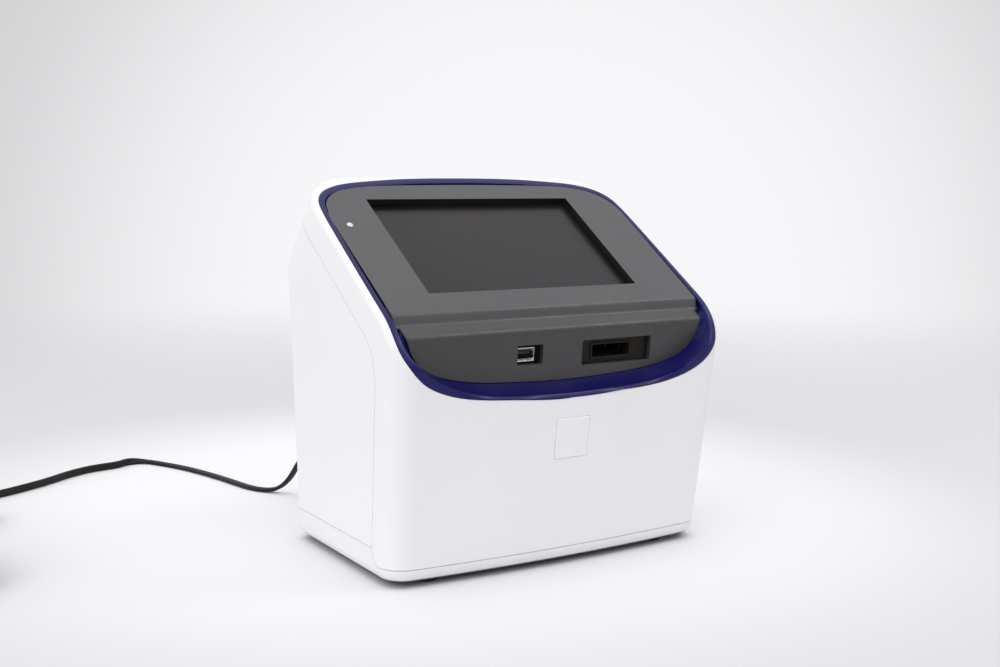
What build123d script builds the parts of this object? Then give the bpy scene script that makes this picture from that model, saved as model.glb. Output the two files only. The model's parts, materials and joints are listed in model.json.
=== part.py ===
from build123d import *
import copy
import os
from math import sin, cos, tan, radians, sqrt, pi, atan2, degrees

# Automated cell counter: wedge-shaped benchtop instrument with a sloping touch screen,
# a slide port and a USB socket on its lower face, and a flat DC lead at the back.
# Millimetres. X to the right, Y to the back, Z up. The origin is on the table,
# under the middle of the instrument.

os.makedirs("parts", exist_ok=True)

# ---------------------------------------------------------------- driving dimensions
# housing
WALL = 3.0                 # shell thickness
SIDE_X0 = 106.77           # half width at y=0, z=0
SIDE_DZ = 0.0327           # side draft: half width gained per mm of height
SIDE_DY = 0.0502           # side taper: half width lost per mm towards the back
FRONT_Y0 = 65.2            # front wall at z=0, on the middle plane
FRONT_LEAN = 0.112         # the front wall leans forward going up
REAR_Y0 = 75.4             # rear wall at z=0
REAR_LEAN = 0.0112
BOW_LOW, BOW_HIGH = 0.00050, 0.00010   # front wall bow at z=0 and z=240 (y = bow * x^2)
R_FRONT = 15.0             # vertical corner radii
R_REAR = 14.0
CROWN_V = 65.4             # top edge, up the slope from the slope frame's origin
R_CROWN, R_CROWN_MID, R_CROWN_LOW = 36.0, 17.0, 8.0   # its corners, at the slope and below it
RING_BACK_V = 63.18        # the ring's body stops here, so that a wall stands behind it
TRAY_Z = 2.2               # underside of the base tray
R_TRAY = 8.0               # rounded lower edge of the tray
SEAM_FRONT_Z = 10.8        # lower edge of the front shell
SEAM_SIDE_Z = 19.8         # lower edge of the side and rear shell
SEAM_Y0 = -39.4            # vertical seam on the side, at SEAM_SIDE_Z
SEAM_LEAN = 0.109
SEAM_DROP = 17.6 + 2.4     # slope seam, below the console plane
SEAM_R = 30.0
GAP = 0.10                 # half of the clearance between shells
GROOVE_W, GROOVE_D = 0.40, 0.55

# console
TILT = 34.37               # screen plane above horizontal, degrees
SCR_Y, SCR_Z = -1.66, 183.3    # reference point of the slope frame
W_TOP = 2.4                # console plane in the slope frame
OPEN_U0, OPEN_U1 = -75.3, 69.7     # screen opening
OPEN_V0, OPEN_V1 = -47.4, 41.0
GLASS_W = -2.1             # touch glass surface
ROLL_R = 48.0              # big roll between the slope and the front
FACE_Y, FACE_Z, FACE_LEAN = -64.8, 136.0, 0.06   # lower console face
REC_X0, REC_X1, REC_Z0, REC_Z1 = 13.5, 63.9, 115.0, 129.4   # slide port recess
REC_D = 3.0
SLOT_X0, SLOT_X1, SLOT_Z0, SLOT_Z1 = 22.6, 49.6, 118.7, 125.9
USB_X0, USB_X1, USB_Z0, USB_Z1 = -31.2, -13.9, 117.9, 129.0
BADGE_W, BADGE_H, BADGE_Z = 22.6, 23.4, 76.0
LED_U, LED_V = -96.5, 16.1

# feet
FOOT_R, FOOT_X, FOOT_YF, FOOT_YR = 7.0, 80.0, -47.0, 58.0

# power lead
JACK_X, JACK_Z = -52.0, 48.0
LEAD_D = 4.0

# the model is drawn about the middle of the console and moved at the end, so that the
# origin is under the middle of the instrument's box
Y_SHIFT = -1.15

# ---------------------------------------------------------------- frames
c_, s_ = cos(radians(TILT)), sin(radians(TILT))
SLOPE = Plane(origin=(0, SCR_Y, SCR_Z), x_dir=(1, 0, 0), z_dir=(0, -s_, c_))


def yz(v, w):
    """slope frame (v up the slope, w above it) to (y, z)"""
    return (SCR_Y + v * c_ - w * s_, SCR_Z + v * s_ + w * c_)


def front_y(z, x=0.0):
    k = BOW_LOW + (BOW_HIGH - BOW_LOW) * z / 240.0
    return -(FRONT_Y0 + FRONT_LEAN * z) + k * x * x


def side_x(y, z):
    return SIDE_X0 + SIDE_DZ * z - SIDE_DY * y


def rear_y(z):
    return REAR_Y0 + REAR_LEAN * z


def prism_x(points, x0=-150.0, x1=150.0):
    """solid from a closed (y, z) polygon, extruded along X"""
    f = make_face(Polyline([(p[0], p[1]) for p in points], close=True))
    return extrude_x(f, x0, x1)


def extrude_x(face2d, x0, x1):
    pl = Plane(origin=(x0, 0, 0), x_dir=(0, 1, 0), z_dir=(1, 0, 0))
    return extrude(pl * face2d, amount=x1 - x0)


def box(x0, x1, y0, y1, z0, z1):
    return Pos((x0 + x1) / 2, (y0 + y1) / 2, (z0 + z1) / 2) * Box(x1 - x0, y1 - y0, z1 - z0)


def sbox(u0, u1, v0, v1, w0, w1):
    """box in the slope frame"""
    return SLOPE * (Pos((u0 + u1) / 2, (v0 + v1) / 2, (w0 + w1) / 2) * Box(u1 - u0, v1 - v0, w1 - w0))


def cyl(p, d, r, h):
    """cylinder from point p along direction d"""
    return extrude(Plane(origin=p, z_dir=d) * Circle(r), amount=h)


def ring(p, d, r, ri, h):
    return extrude(Plane(origin=p, z_dir=d) * (Circle(r) - Circle(ri)), amount=h)


def rbox(x0, x1, y0, y1, z0, z1, r, axis=Axis.Z):
    b = box(x0, x1, y0, y1, z0, z1)
    return fillet(b.edges().filter_by(axis), r)


# ---------------------------------------------------------------- outer body
def plan(z, off):
    """plan section of the housing at height z, moved inwards by off"""
    yf0 = front_y(z) + off
    hxf = side_x(-72.0, z) - off
    yfc = front_y(z, hxf) + off
    hxr = side_x(rear_y(z), z) - off
    yr = rear_y(z) - off
    w = Wire([
        ThreePointArc((-hxf, yfc, z), (0, yf0, z), (hxf, yfc, z)),
        Line((hxf, yfc, z), (hxr, yr, z)),
        Line((hxr, yr, z), (-hxr, yr, z)),
        Line((-hxr, yr, z), (-hxf, yfc, z)),
    ])
    f = Face(w)
    vs = f.vertices()
    fr = [v for v in vs if v.Y < 0]
    rr = [v for v in vs if v.Y > 0]
    f = f.fillet_2d(max(R_FRONT - off, 2.0), fr)
    rr = [v for v in f.vertices() if v.Y > 60 and abs(abs(v.X) - hxr) < 0.01]
    return f.fillet_2d(max(R_REAR - off, 2.0), rr)


def top_profile(off, w_top):
    """(y, z) region under the slope, the front roll and the rounded top edge"""
    w = w_top - off
    vt = -62.0
    # roll: arc of ROLL_R, tangent to the slope at v = vt
    cy, cz = yz(vt, w_top - ROLL_R)
    r = ROLL_R - off
    a0, a1 = 90 + TILT, 151.0
    p0 = (cy + r * cos(radians(a0)), cz + r * sin(radians(a0)))
    am = (a0 + a1) / 2
    pm = (cy + r * cos(radians(am)), cz + r * sin(radians(am)))
    p1 = (cy + r * cos(radians(a1)), cz + r * sin(radians(a1)))
    d = (-sin(radians(180 - a1)), -cos(radians(180 - a1)))
    p2 = (p1[0] + 45 * d[0], p1[1] + 45 * d[1])
    # the slope runs on past the rear wall; crown() gives the top edge and its corners
    q = yz(110.0, w)
    edges = [
        Line(p2, p1), ThreePointArc(p1, pm, p0), Line(p0, q), Line(q, (q[0], -20)),
        Line((q[0], -20), (-110, -20)), Line((-110, -20), (-110, p2[1])), Line((-110, p2[1]), p2),
    ]
    return make_face(edges)


def crown(off):
    """solid square to the slope: the top edge with its rounded corners, falling to the rear wall"""
    def outline(w, r):
        top = CROWN_V - off
        h = 112.94 - 0.023 * (top - r) - 0.0553 * abs(w) - off
        k = sqrt(0.5)
        wire = Wire([
            Line((-h - 25, -170, 0), (-h, top - r, 0)),
            ThreePointArc((-h, top - r, 0), (-h + r - r * k, top - r + r * k, 0), (-h + r, top, 0)),
            Line((-h + r, top, 0), (h - r, top, 0)),
            ThreePointArc((h - r, top, 0), (h - r + r * k, top - r + r * k, 0), (h, top - r, 0)),
            Line((h, top - r, 0), (h + 25, -170, 0)), Line((h + 25, -170, 0), (-h - 25, -170, 0)),
        ])
        o = yz(0, w)
        return Plane(origin=(0, o[0], o[1]), x_dir=(1, 0, 0), z_dir=(0, -s_, c_)) * Face(wire)
    parts = [outline(w, r - off) for w, r in ((-240.0, R_CROWN_LOW), (-75.0, R_CROWN_MID), (6.0, R_CROWN))]
    return loft(parts, ruled=True)


def body(off, w_top=W_TOP - 0.2, rim=3.0, tray=True):
    col = loft([plan(TRAY_Z + off, off), plan(238.0, off)], ruled=True)
    if tray:
        low = [e for e in col.edges() if e.center().Z < TRAY_Z + off + 0.01]
        col = fillet(low, max(R_TRAY - off, 1.0))
    b = col & extrude_x(top_profile(off, w_top), -150, 150) & crown(off)
    b = b.solid() if hasattr(b, "solid") else b
    if rim > 0:
        # the closed crease around the top
        es = []
        for e in b.edges():
            c = e.center()
            fs = [f for f in b.faces() if any(e.is_same(x) for x in f.edges())]
            if len(fs) != 2:
                continue
            n0, n1 = fs[0].normal_at(c), fs[1].normal_at(c)
            behind = c.Y > 35 and (c.Y - SCR_Y) * -s_ + (c.Z - SCR_Z) * c_ < -1.0
            if n0.get_angle(n1) > 14 and c.Z > 100 and not behind:
                es.append(e)
        b = fillet(es, rim)
    return b


OUTER = body(0.0)
print("outer", OUTER.is_valid, round(OUTER.volume), OUTER.bounding_box())
INNER = body(WALL, rim=0)
print("inner", INNER.is_valid, round(INNER.volume))
SKIN = body(GROOVE_D, rim=3.0 - GROOVE_D)
print("skin", SKIN.is_valid, round(SKIN.volume))

HOLLOW = OUTER - INNER
print("hollow", HOLLOW.is_valid)

# ---------------------------------------------------------------- shells
def seam_y(z):
    return SEAM_Y0 - SEAM_LEAN * (z - SEAM_SIDE_Z)


def meet(p, d, q, e):
    """intersection of two (y, z) lines, point and direction each"""
    k = ((q[0] - p[0]) * e[1] - (q[1] - p[1]) * e[0]) / (d[0] * e[1] - d[1] * e[0])
    return (p[0] + k * d[0], p[1] + k * d[1])


w_seam = W_TOP - SEAM_DROP
SLOPE_DIR = (c_, s_)
KNEE = meet(yz(0, w_seam), SLOPE_DIR, (seam_y(60), 60), (-SEAM_LEAN, 1.0))
FAR = yz(150, w_seam)
R_SHOE = 9.0
SHOE_Y = seam_y(SEAM_SIDE_Z)


def seam_face(kind, g):
    """(y, z) region of one shell, pulled back from its seams by g"""
    foot = (SHOE_Y - R_SHOE, SEAM_FRONT_Z)
    mid = (SHOE_Y - R_SHOE + R_SHOE * cos(radians(-45)), SEAM_SIDE_Z + R_SHOE * sin(radians(-45)))
    if kind == "tray":
        f = make_face([
            Line((-130, -30), (130, -30)), Line((130, -30), (130, SEAM_SIDE_Z)),
            Line((130, SEAM_SIDE_Z), (SHOE_Y, SEAM_SIDE_Z)),
            ThreePointArc((SHOE_Y, SEAM_SIDE_Z), mid, foot),
            Line(foot, (-130, SEAM_FRONT_Z)), Line((-130, SEAM_FRONT_Z), (-130, -30)),
        ])
    elif kind == "front":
        f = make_face([
            Line((-130, SEAM_FRONT_Z), foot), ThreePointArc(foot, mid, (SHOE_Y, SEAM_SIDE_Z)),
            Line((SHOE_Y, SEAM_SIDE_Z), KNEE), Line(KNEE, FAR),
            Line(FAR, (-130, 330)), Line((-130, 330), (-130, SEAM_FRONT_Z)),
        ])
        f = fillet(f.vertices().sort_by_distance((KNEE[0], KNEE[1], 0))[0:1], SEAM_R)
    else:
        f = make_face([
            Line((150, SEAM_SIDE_Z), (SHOE_Y, SEAM_SIDE_Z)), Line((SHOE_Y, SEAM_SIDE_Z), KNEE),
            Line(KNEE, FAR), Line(FAR, (150, FAR[1])), Line((150, FAR[1]), (150, SEAM_SIDE_Z)),
        ])
        f = fillet(f.vertices().sort_by_distance((KNEE[0], KNEE[1], 0))[0:1], SEAM_R)
    return offset(f, amount=-g, kind=Kind.INTERSECTION) if g else f


def shell(kind):
    inner, outer = seam_face(kind, 0.06), seam_face(kind, GROOVE_W / 2)
    band = extrude_x(inner - outer, -150, 150) - SKIN
    return (HOLLOW & extrude_x(inner, -150, 150)) - band


def smooth_loop(half):
    """closed smooth outline from one half, listed from the middle of the bottom to the middle of the top"""
    left = [(-x, y) for x, y in half if x > 1e-6]
    return list(half) + left[::-1]


def grow(half, d, open_end=False):
    """moves a half outline outwards by d, square to the line through its neighbours"""
    out = []
    n = len(half)
    for i, (x, y) in enumerate(half):
        a = half[i - 1] if i > 0 else (-half[1][0], half[1][1])
        b = half[i + 1] if i < n - 1 else (half[i] if open_end else (-half[n - 2][0], half[n - 2][1]))
        tx, ty = b[0] - a[0], b[1] - a[1]
        m = sqrt(tx * tx + ty * ty)
        out.append((x + d * ty / m, y - d * tx / m))
    return out


RING_PLANE = Plane(origin=(0, 0, 0), x_dir=(1, 0, 0), z_dir=(0, -cos(radians(30)), sin(radians(30))))
COVE_PLANE = Plane(origin=(0, 0, 0), x_dir=(1, 0, 0), z_dir=(0, -cos(radians(25)), -sin(radians(25))))

# outlines, half of each
RING_HALF = [(0, 48.2), (40, 49.65), (73.3, 53.0), (89.6, 57.4), (97.4, 61.2), (103.2, 66.2), (107.2, 72.3),
             (109.6, 79.2), (110.6, 87.0), (110.7, 97.0), (110.4, 116.0), (109.9, 140.0), (109.3, 163.0),
             (108.8, 177.0), (108.0, 187.5), (106.2, 195.3), (101.2, 202.2), (94.0, 206.7), (85.0, 209.7),
             (67.0, 212.5), (45.0, 214.6), (0, 215.8)]
LOW_HALF = [(0, 124.4), (20, 124.75), (43, 125.75), (66, 127.95), (81, 131.2), (88.2, 133.9), (93.2, 137.2),
            (97.7, 141.8), (101.0, 147.7), (102.9, 153.0)]
TOP_V = [(105.9, -70.0), (105.9, 16.0), (105.3, 27.0), (103.4, 35.2), (100.2, 41.4), (94.8, 46.6), (85.0, 51.2),
         (67.0, 54.1), (34.0, 55.4), (0, 55.8)]


def outline_face(plane, pts):
    return plane * make_face(Spline([(x, y) for x, y in smooth_loop(pts)], periodic=True))


def ring_prism(d):
    return extrude(outline_face(RING_PLANE, grow(RING_HALF, d)), amount=160)


def pocket_top(d, w0, w1):
    pts = [(105.9, -70.0)] + TOP_V[1:]
    half = [(p[0] + d, p[1]) for p in pts[:1]] + grow([(105.9, -72.0)] + pts[1:], d)[1:]
    right = half
    left = [(-x, y) for x, y in half if x > 1e-6][::-1]
    top = Spline([(x, y) for x, y in right[1:]] + [(x, y) for x, y in left[:-1]],
                 tangents=[(0, 1), (0, -1)])
    a, b = right[0], left[-1]
    f = make_face([Line(a, right[1]), top, Line(left[-2], b), Line(b, a)])
    return extrude(Plane(origin=SLOPE.from_local_coords((0, 0, w0)), x_dir=(1, 0, 0), z_dir=SLOPE.z_dir) * f,
                   amount=w1 - w0)


def pocket_low(d, depth0, depth1):
    half = grow(LOW_HALF, d, True)
    e = half[-1]
    right = half[1:]
    left = [(-x, y) for x, y in right]
    bot = Spline([(x, y) for x, y in left[::-1]] + [(half[0][0], half[0][1])] + right)
    top_x = 105.9 + d
    f = make_face([bot, Line(e, (top_x, 159.8)), Line((top_x, 159.8), (-top_x, 159.8)),
                   Line((-top_x, 159.8), (-e[0], e[1]))])
    pl = Plane(origin=COVE_PLANE.from_local_coords((0, 0, depth0)), x_dir=(1, 0, 0), z_dir=COVE_PLANE.z_dir)
    return extrude(pl * f, amount=depth1 - depth0)


def core_profile(depth):
    """(y, z) region more than depth inside the slope and the front wall"""
    a = yz(140, W_TOP - depth)
    k = meet(yz(0, W_TOP - depth), SLOPE_DIR, (front_y(60) + depth, 60), (-FRONT_LEAN, 1.0))
    f = make_face(Polyline([a, k, (front_y(-30) + depth, -30), (160, -30), (160, a[1])], close=True))
    return fillet(f.vertices().sort_by_distance((k[0], k[1], 0))[0:1], 26)


RING_DEPTH = 16.0
core = extrude_x(core_profile(RING_DEPTH), -150, 150)
opening = (ring_prism(0.12) - core) & sbox(-150, 150, -220, RING_BACK_V + 0.12, -130, 60)

# console profile
F0 = (-55.7, 149.2)
F1 = (-57.2, 143.2)
F2 = (-65.2, 137.6)
F3 = (FACE_Y + FACE_LEAN * (FACE_Z - 100.0), 100.0)
T_FASCIA = 3.0


def unit(a, b):
    d = (b[0] - a[0], b[1] - a[1])
    m = sqrt(d[0] ** 2 + d[1] ** 2)
    return (d[0] / m, d[1] / m)


def console_lines(t):
    """corner points of the console's profile, t below its face"""
    lines = []
    pts = [yz(75, W_TOP), F0, F1, F2, F3]
    for a, b in zip(pts, pts[1:]):
        d = unit(a, b)
        n = (-d[1], d[0])
        lines.append(((a[0] + n[0] * t, a[1] + n[1] * t), d))
    out = [lines[0][0]]
    for (p, d), (q, e) in zip(lines, lines[1:]):
        out.append(meet(p, d, q, e))
    p, d = lines[-1]
    out.append((p[0] + 37 * d[0], p[1] + 37 * d[1]))
    return out


def console_profile():
    top, low = console_lines(0.0), console_lines(T_FASCIA)
    f = make_face(Polyline(top + low[::-1], close=True))
    for p, r in ((top[1], 2.5), (top[2], 2.0), (top[3], 4.0), (low[3], 1.2), (low[2], 4.0)):
        f = fillet(f.vertices().sort_by_distance((p[0], p[1], 0))[0:1], r)
    return f


P = {}
P["front_shell"] = shell("front") - opening
P["rear_shell"] = shell("rear")
P["base_tray"] = shell("tray")
print("shells", [(k, P[k].is_valid, round(P[k].volume)) for k in P])

ring_body = body(-0.2, rim=3.0)
ringv = ((ring_prism(0.0) & ring_body) - core) & sbox(-150, 150, -220, RING_BACK_V, -130, 60)
ringv = ringv - pocket_top(0.95, -16, 12) - pocket_low(0.9, -14, 60)
P["trim_ring"] = ringv
print("ring", ringv.is_valid, round(ringv.volume), len(ringv.solids()))

band = extrude_x(console_profile(), -112, 112)
fascia = (band & pocket_top(0.0, -14, 10)) + (band & pocket_low(0.0, -14, 30))
print("fascia", fascia.is_valid, round(fascia.volume), len(fascia.solids()))

# ---------------------------------------------------------------- console
CEN_U, CEN_V = (OPEN_U0 + OPEN_U1) / 2, (OPEN_V0 + OPEN_V1) / 2
fascia = fascia - sbox(OPEN_U0, OPEN_U1, OPEN_V0, OPEN_V1, -3, 6)
BR_U, BR_V0, BR_V1 = 86.5, -46.0, 40.0
for sx in (-1, 1):
    for v in (BR_V0, BR_V1):
        boss = SLOPE * (Pos(sx * BR_U, v, -5.2) * Cylinder(3.4, 9.3))
        fascia = fascia + boss
        fascia = fascia - SLOPE * (Pos(sx * BR_U, v, -7.0) * Cylinder(1.25, 8.0))
led_c = (LED_U, LED_V)
fascia = fascia - SLOPE * (Pos(LED_U, LED_V, 0) * Cylinder(1.35, 12))

zc = 122.2
FACE_P = Plane(origin=(0, FACE_Y + FACE_LEAN * (FACE_Z - zc), zc), x_dir=(1, 0, 0),
               z_dir=(0, -1.0, -FACE_LEAN))


def fbox(u0, u1, t0, t1, d0, d1, r=0.0):
    """box in the lower face's frame; d is height above the face, negative inside"""
    b = Pos((u0 + u1) / 2, (t0 + t1) / 2, (d0 + d1) / 2) * Box(u1 - u0, t1 - t0, d1 - d0)
    if r:
        b = fillet(b.edges().filter_by(Axis.Z), r)
    return FACE_P * b


rt0, rt1 = REC_Z0 - zc, REC_Z1 - zc
ut0, ut1 = USB_Z0 - zc, USB_Z1 - zc
fascia = fascia - fbox(REC_X0, REC_X1, rt0, rt1, -6, 3, 1.2)
fascia = fascia - fbox(USB_X0, USB_X1, ut0, ut1, -6, 3, 0.8)
P["console_fascia"] = fascia
print("fascia cut", fascia.is_valid, round(fascia.volume), len(fascia.solids()))

G0, G1 = W_TOP - T_FASCIA, GLASS_W
P["touch_glass"] = sbox(OPEN_U0 - 4, OPEN_U1 + 4, OPEN_V0 - 3.5, OPEN_V1 + 3.5, GLASS_W - 1.5, GLASS_W)
P["glass_gasket"] = (sbox(OPEN_U0 - 4, OPEN_U1 + 4, OPEN_V0 - 3.5, OPEN_V1 + 3.5, GLASS_W + 0.05, G0 - 0.05)
                     - sbox(OPEN_U0, OPEN_U1, OPEN_V0, OPEN_V1, -5, 5))
P["lcd_module"] = (sbox(OPEN_U0 - 3, OPEN_U1 + 3, OPEN_V0 - 3, OPEN_V1 + 3, -8.6, GLASS_W - 1.6)
                   + sbox(-30, 20, -30, 20, -9.4, -8.6))
bracket = sbox(-91, 91, OPEN_V0 - 4, OPEN_V1 + 4, -11.2, -10.0)
for sx in (-1, 1):
    for v in (BR_V0, BR_V1):
        bracket = bracket - SLOPE * (Pos(sx * BR_U, v, -10.6) * Cylinder(1.6, 6))
    bracket = bracket - sbox(*sorted((sx * 30, sx * 62)), -30, 26, -14, -8)
P["display_bracket"] = bracket + sbox(-91, 91, OPEN_V1 + 2.6, OPEN_V1 + 4, -15, -10)


def screw(p, d, r, length, head_r, head_h):
    """cap screw from the underside of its head at p, shank along d"""
    s = cyl(p, d, r, length)
    q = (p[0] - d[0] * head_h, p[1] - d[1] * head_h, p[2] - d[2] * head_h)
    h = cyl(q, d, head_r, head_h)
    h = h - extrude(Plane(origin=q, z_dir=d) * RegularPolygon(head_r * 0.5, 6), amount=head_h * 0.55)
    return h + s


scr = []
for sx in (-1, 1):
    for v in (BR_V0, BR_V1):
        q = SLOPE.from_local_coords((sx * BR_U, v, -11.25))
        scr.append(screw((q.X, q.Y, q.Z), (0, -s_, c_), 1.2, 7.0, 2.4, 1.8))
P["bracket_screws"] = Compound([x.solid() for x in scr])

lens = (SLOPE * (Pos(LED_U, LED_V, 0.6) * Cylinder(1.25, 3.2))
        + SLOPE * (Pos(LED_U, LED_V, -1.8) * Cylinder(2.6, 2.2)))
P["status_lens"] = fillet(lens.edges().filter_by(GeomType.CIRCLE).sort_by_distance(
    SLOPE.from_local_coords((LED_U, LED_V, 2.2)))[0:1], 0.5)
P["status_board"] = (sbox(LED_U - 5, LED_U + 4.4, LED_V - 9, LED_V + 7, -7.2, -6.0)
                     + sbox(LED_U - 1.6, LED_U + 1.6, LED_V - 1, LED_V + 1, -6.0, -4.4))

# slide port
ins = fbox(REC_X0 - 2.6, REC_X1 + 2.6, rt0 - 1.9, rt1 + 1.9, -5.2, -3.1, 1.6)
st0, st1 = SLOT_Z0 - zc, SLOT_Z1 - zc
ins = ins + fbox(SLOT_X0 - 1.1, SLOT_X1 + 1.1, st0 - 1.1, st1 + 1.1, -3.1, -2.3, 1.6)
ins = ins + fbox(SLOT_X0 - 1.6, SLOT_X1 + 1.6, st0 - 1.6, st1 + 1.6, -9.0, -5.2, 1.6)
ins = ins - fbox(SLOT_X0, SLOT_X1, st0, st1, -12, 0, 0.9)
P["slide_port_insert"] = ins

# usb socket
UC, TC = -24.1, 0.85
bez = fbox(USB_X0 - 1.2, USB_X1 + 1.2, ut0 - 1.2, ut1 + 1.2, -6.3, -3.1, 1.2)
bez = bez - fbox(USB_X0 + 0.2, USB_X1 - 0.2, ut0 + 0.2, ut1 - 0.2, -5.3, 0, 0.8)
bez = bez - fbox(UC - 6.8, UC + 6.8, TC - 3.1, TC + 3.1, -8, 0)
P["usb_bezel"] = bez


def uplane(d):
    return Plane(origin=FACE_P.from_local_coords((UC, TC, d)), x_dir=(1, 0, 0), z_dir=FACE_P.z_dir)


def urect(w, h, d):
    return uplane(d) * Rectangle(w, h)


tube_u = extrude(urect(13.1, 5.75, -19), amount=14.0) - extrude(urect(12.4, 5.05, -18.5), amount=14.0)
flare = loft([urect(13.1, 5.75, -5.0), urect(13.6, 7.9, -3.9)]) - loft([urect(12.4, 5.05, -5.01), urect(13.0, 7.3, -3.89)])
P["usb_shell"] = tube_u + flare
P["usb_tongue"] = (extrude(uplane(-18.4) * (Pos(0, 0.9) * Rectangle(11.2, 1.8)), amount=12.0)
                   + extrude(uplane(-18.4) * Rectangle(12.2, 4.8), amount=2.0))
P["usb_board"] = fbox(UC - 13, UC + 13, TC - 5.2, TC - 3.6, -34, -8)

# badge on the front wall
BADGE_P = Plane(origin=(0, front_y(BADGE_Z), BADGE_Z), x_dir=(1, 0, 0), z_dir=(0, -1.0, -FRONT_LEAN))
bh = BADGE_P * fillet((Pos(0, 0, -0.45) * Box(BADGE_W + 0.3, BADGE_H + 0.3, 1.1)).edges().filter_by(Axis.Z), 0.5)
P["front_shell"] = P["front_shell"] - bh
bp = Pos(0, 0, -0.3) * Box(BADGE_W, BADGE_H, 1.2)
bp = fillet(bp.edges().filter_by(Axis.Z), 0.4)
bp = chamfer(bp.faces().sort_by(Axis.Z)[-1].edges(), 0.25)
P["badge_plate"] = BADGE_P * bp

# ---------------------------------------------------------------- rear wall
RY48 = rear_y(JACK_Z)
SW_X, SW_Z = -14.0, 48.0
rs = P["rear_shell"]
rs = rs - cyl((JACK_X, 60, JACK_Z), (0, 1, 0), 5.15, 30)
rs = rs - box(SW_X - 6.7, SW_X + 6.7, 60, 90, SW_Z - 9.7, SW_Z + 9.7)
for i in range(12):
    for z0 in (96.0, 132.0):
        rs = rs - box(14.0 + i * 5.6, 16.6 + i * 5.6, 60, 90, z0, z0 + 28)
BOSS_R = [(94.0, 44.0), (-94.0, 44.0)]
BOSS_F = [(94.0, -48.0), (-94.0, -48.0)]
for x, y in BOSS_R:
    sx = 1 if x > 0 else -1
    rs = rs + cyl((x, y, 5.4), (0, 0, 1), 4.0, 34.6) + box(*sorted((x + sx * 2, x + sx * 10.5)), y - 1.2, y + 1.2, 21, 40)
    rs = rs - cyl((x, y, 5.0), (0, 0, 1), 1.35, 22)
P["rear_shell"] = rs
fs = P["front_shell"]
for x, y in BOSS_F:
    sx = 1 if x > 0 else -1
    fs = fs + cyl((x, y, 5.4), (0, 0, 1), 4.0, 34.6) + box(*sorted((x + sx * 2, x + sx * 14.2)), y - 1.2, y + 1.2, 21, 40)
    fs = fs - cyl((x, y, 5.0), (0, 0, 1), 1.35, 22)
P["front_shell"] = fs
print("front", fs.is_valid, len(fs.solids()), "rear", rs.is_valid, len(rs.solids()))

# base: foot recesses, screw holes, posts for the chassis
bt = P["base_tray"]
FEET = [(FOOT_X, FOOT_YF), (-FOOT_X, FOOT_YF), (FOOT_X, FOOT_YR), (-FOOT_X, FOOT_YR)]
for x, y in FEET:
    bt = bt - cyl((x, y, 1.0), (0, 0, 1), FOOT_R + 0.15, 2.4)
CH_Z = 13.0
POSTS = [(80, -42), (-80, -42), (80, 58), (-80, 58)]
for x, y in POSTS:
    bt = bt + (cyl((x, y, 5.0), (0, 0, 1), 4.0, CH_Z - 5.0) - cyl((x, y, 6.0), (0, 0, 1), 1.25, 8))
for x, y in BOSS_F + BOSS_R:
    bt = bt - cyl((x, y, 0), (0, 0, 1), 1.8, 8) - cyl((x, y, 0), (0, 0, 1), 3.4, 3.9)
P["base_tray"] = bt
print("tray", bt.is_valid, len(bt.solids()))

feet = []
for x, y in FEET:
    f = cyl((x, y, 0), (0, 0, 1), FOOT_R, 3.3)
    f = fillet(f.edges().filter_by(GeomType.CIRCLE).sort_by(Axis.Z)[0:1], 0.8)
    f = f - (cyl((x, y, -1), (0, 0, 1), 2.4, 2.0))
    feet.append(f.solid())
P["rubber_feet"] = Compound(feet)
P["base_screws"] = Compound([screw((x, y, 3.85), (0, 0, 1), 1.3, 16, 2.8, 1.5).solid() for x, y in BOSS_F + BOSS_R])

# power inlet
jack = cyl((JACK_X, RY48 + 0.1, JACK_Z), (0, 1, 0), 6.6, 1.6)
jack = jack + cyl((JACK_X, 62, JACK_Z), (0, 1, 0), 5.0, RY48 + 1.0 - 62)
jack = jack + (extrude(Plane(origin=(JACK_X, RY48 - 5.2, JACK_Z), z_dir=(0, 1, 0)) * RegularPolygon(7.2, 6), amount=2.1))
jack = jack - cyl((JACK_X, 66, JACK_Z), (0, 1, 0), 2.85, 20)
jack = jack + cyl((JACK_X, 65, JACK_Z), (0, 1, 0), 1.0, 8.5)
P["dc_jack"] = jack

# power switch
HY = rear_y(SW_Z) + 0.1
hs = box(SW_X - 6.5, SW_X + 6.5, 59.5, HY + 0.5, SW_Z - 9.5, SW_Z + 9.5)
fl = box(SW_X - 7.9, SW_X + 7.9, HY, HY + 1.7, SW_Z - 11.2, SW_Z + 11.2)
fl = fillet(fl.edges().filter_by(Axis.Y), 1.2)
fl = chamfer(fl.faces().sort_by(Axis.Y)[-1].edges(), 0.6)
PIV_Y = 72.0
hs = hs + fl - box(SW_X - 5.2, SW_X + 5.2, 66.5, 90, SW_Z - 8.4, SW_Z + 8.4)
hs = hs - cyl((SW_X - 6.1, PIV_Y, SW_Z), (1, 0, 0), 1.25, 12.2)
for i in (-5.5, 0.0, 5.5):
    hs = hs + box(SW_X - 2.4, SW_X + 2.4, 53, 59.6, SW_Z + i - 0.4, SW_Z + i + 0.4)
P["power_switch_housing"] = hs
rk = cyl((SW_X - 4.9, PIV_Y, SW_Z), (1, 0, 0), 8.0, 9.8)
vprof = [(PIV_Y - 2.0, SW_Z - 8.5), (PIV_Y - 2.0, SW_Z + 8.5), (PIV_Y + 7.6, SW_Z + 8.5), (PIV_Y + 6.4, SW_Z), (PIV_Y + 7.6, SW_Z - 8.5)]
rk = rk & prism_x(vprof, SW_X - 5, SW_X + 5)
rk = rk + cyl((SW_X - 5.9, PIV_Y, SW_Z), (1, 0, 0), 1.2, 11.8)
P["power_rocker"] = rk

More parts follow.
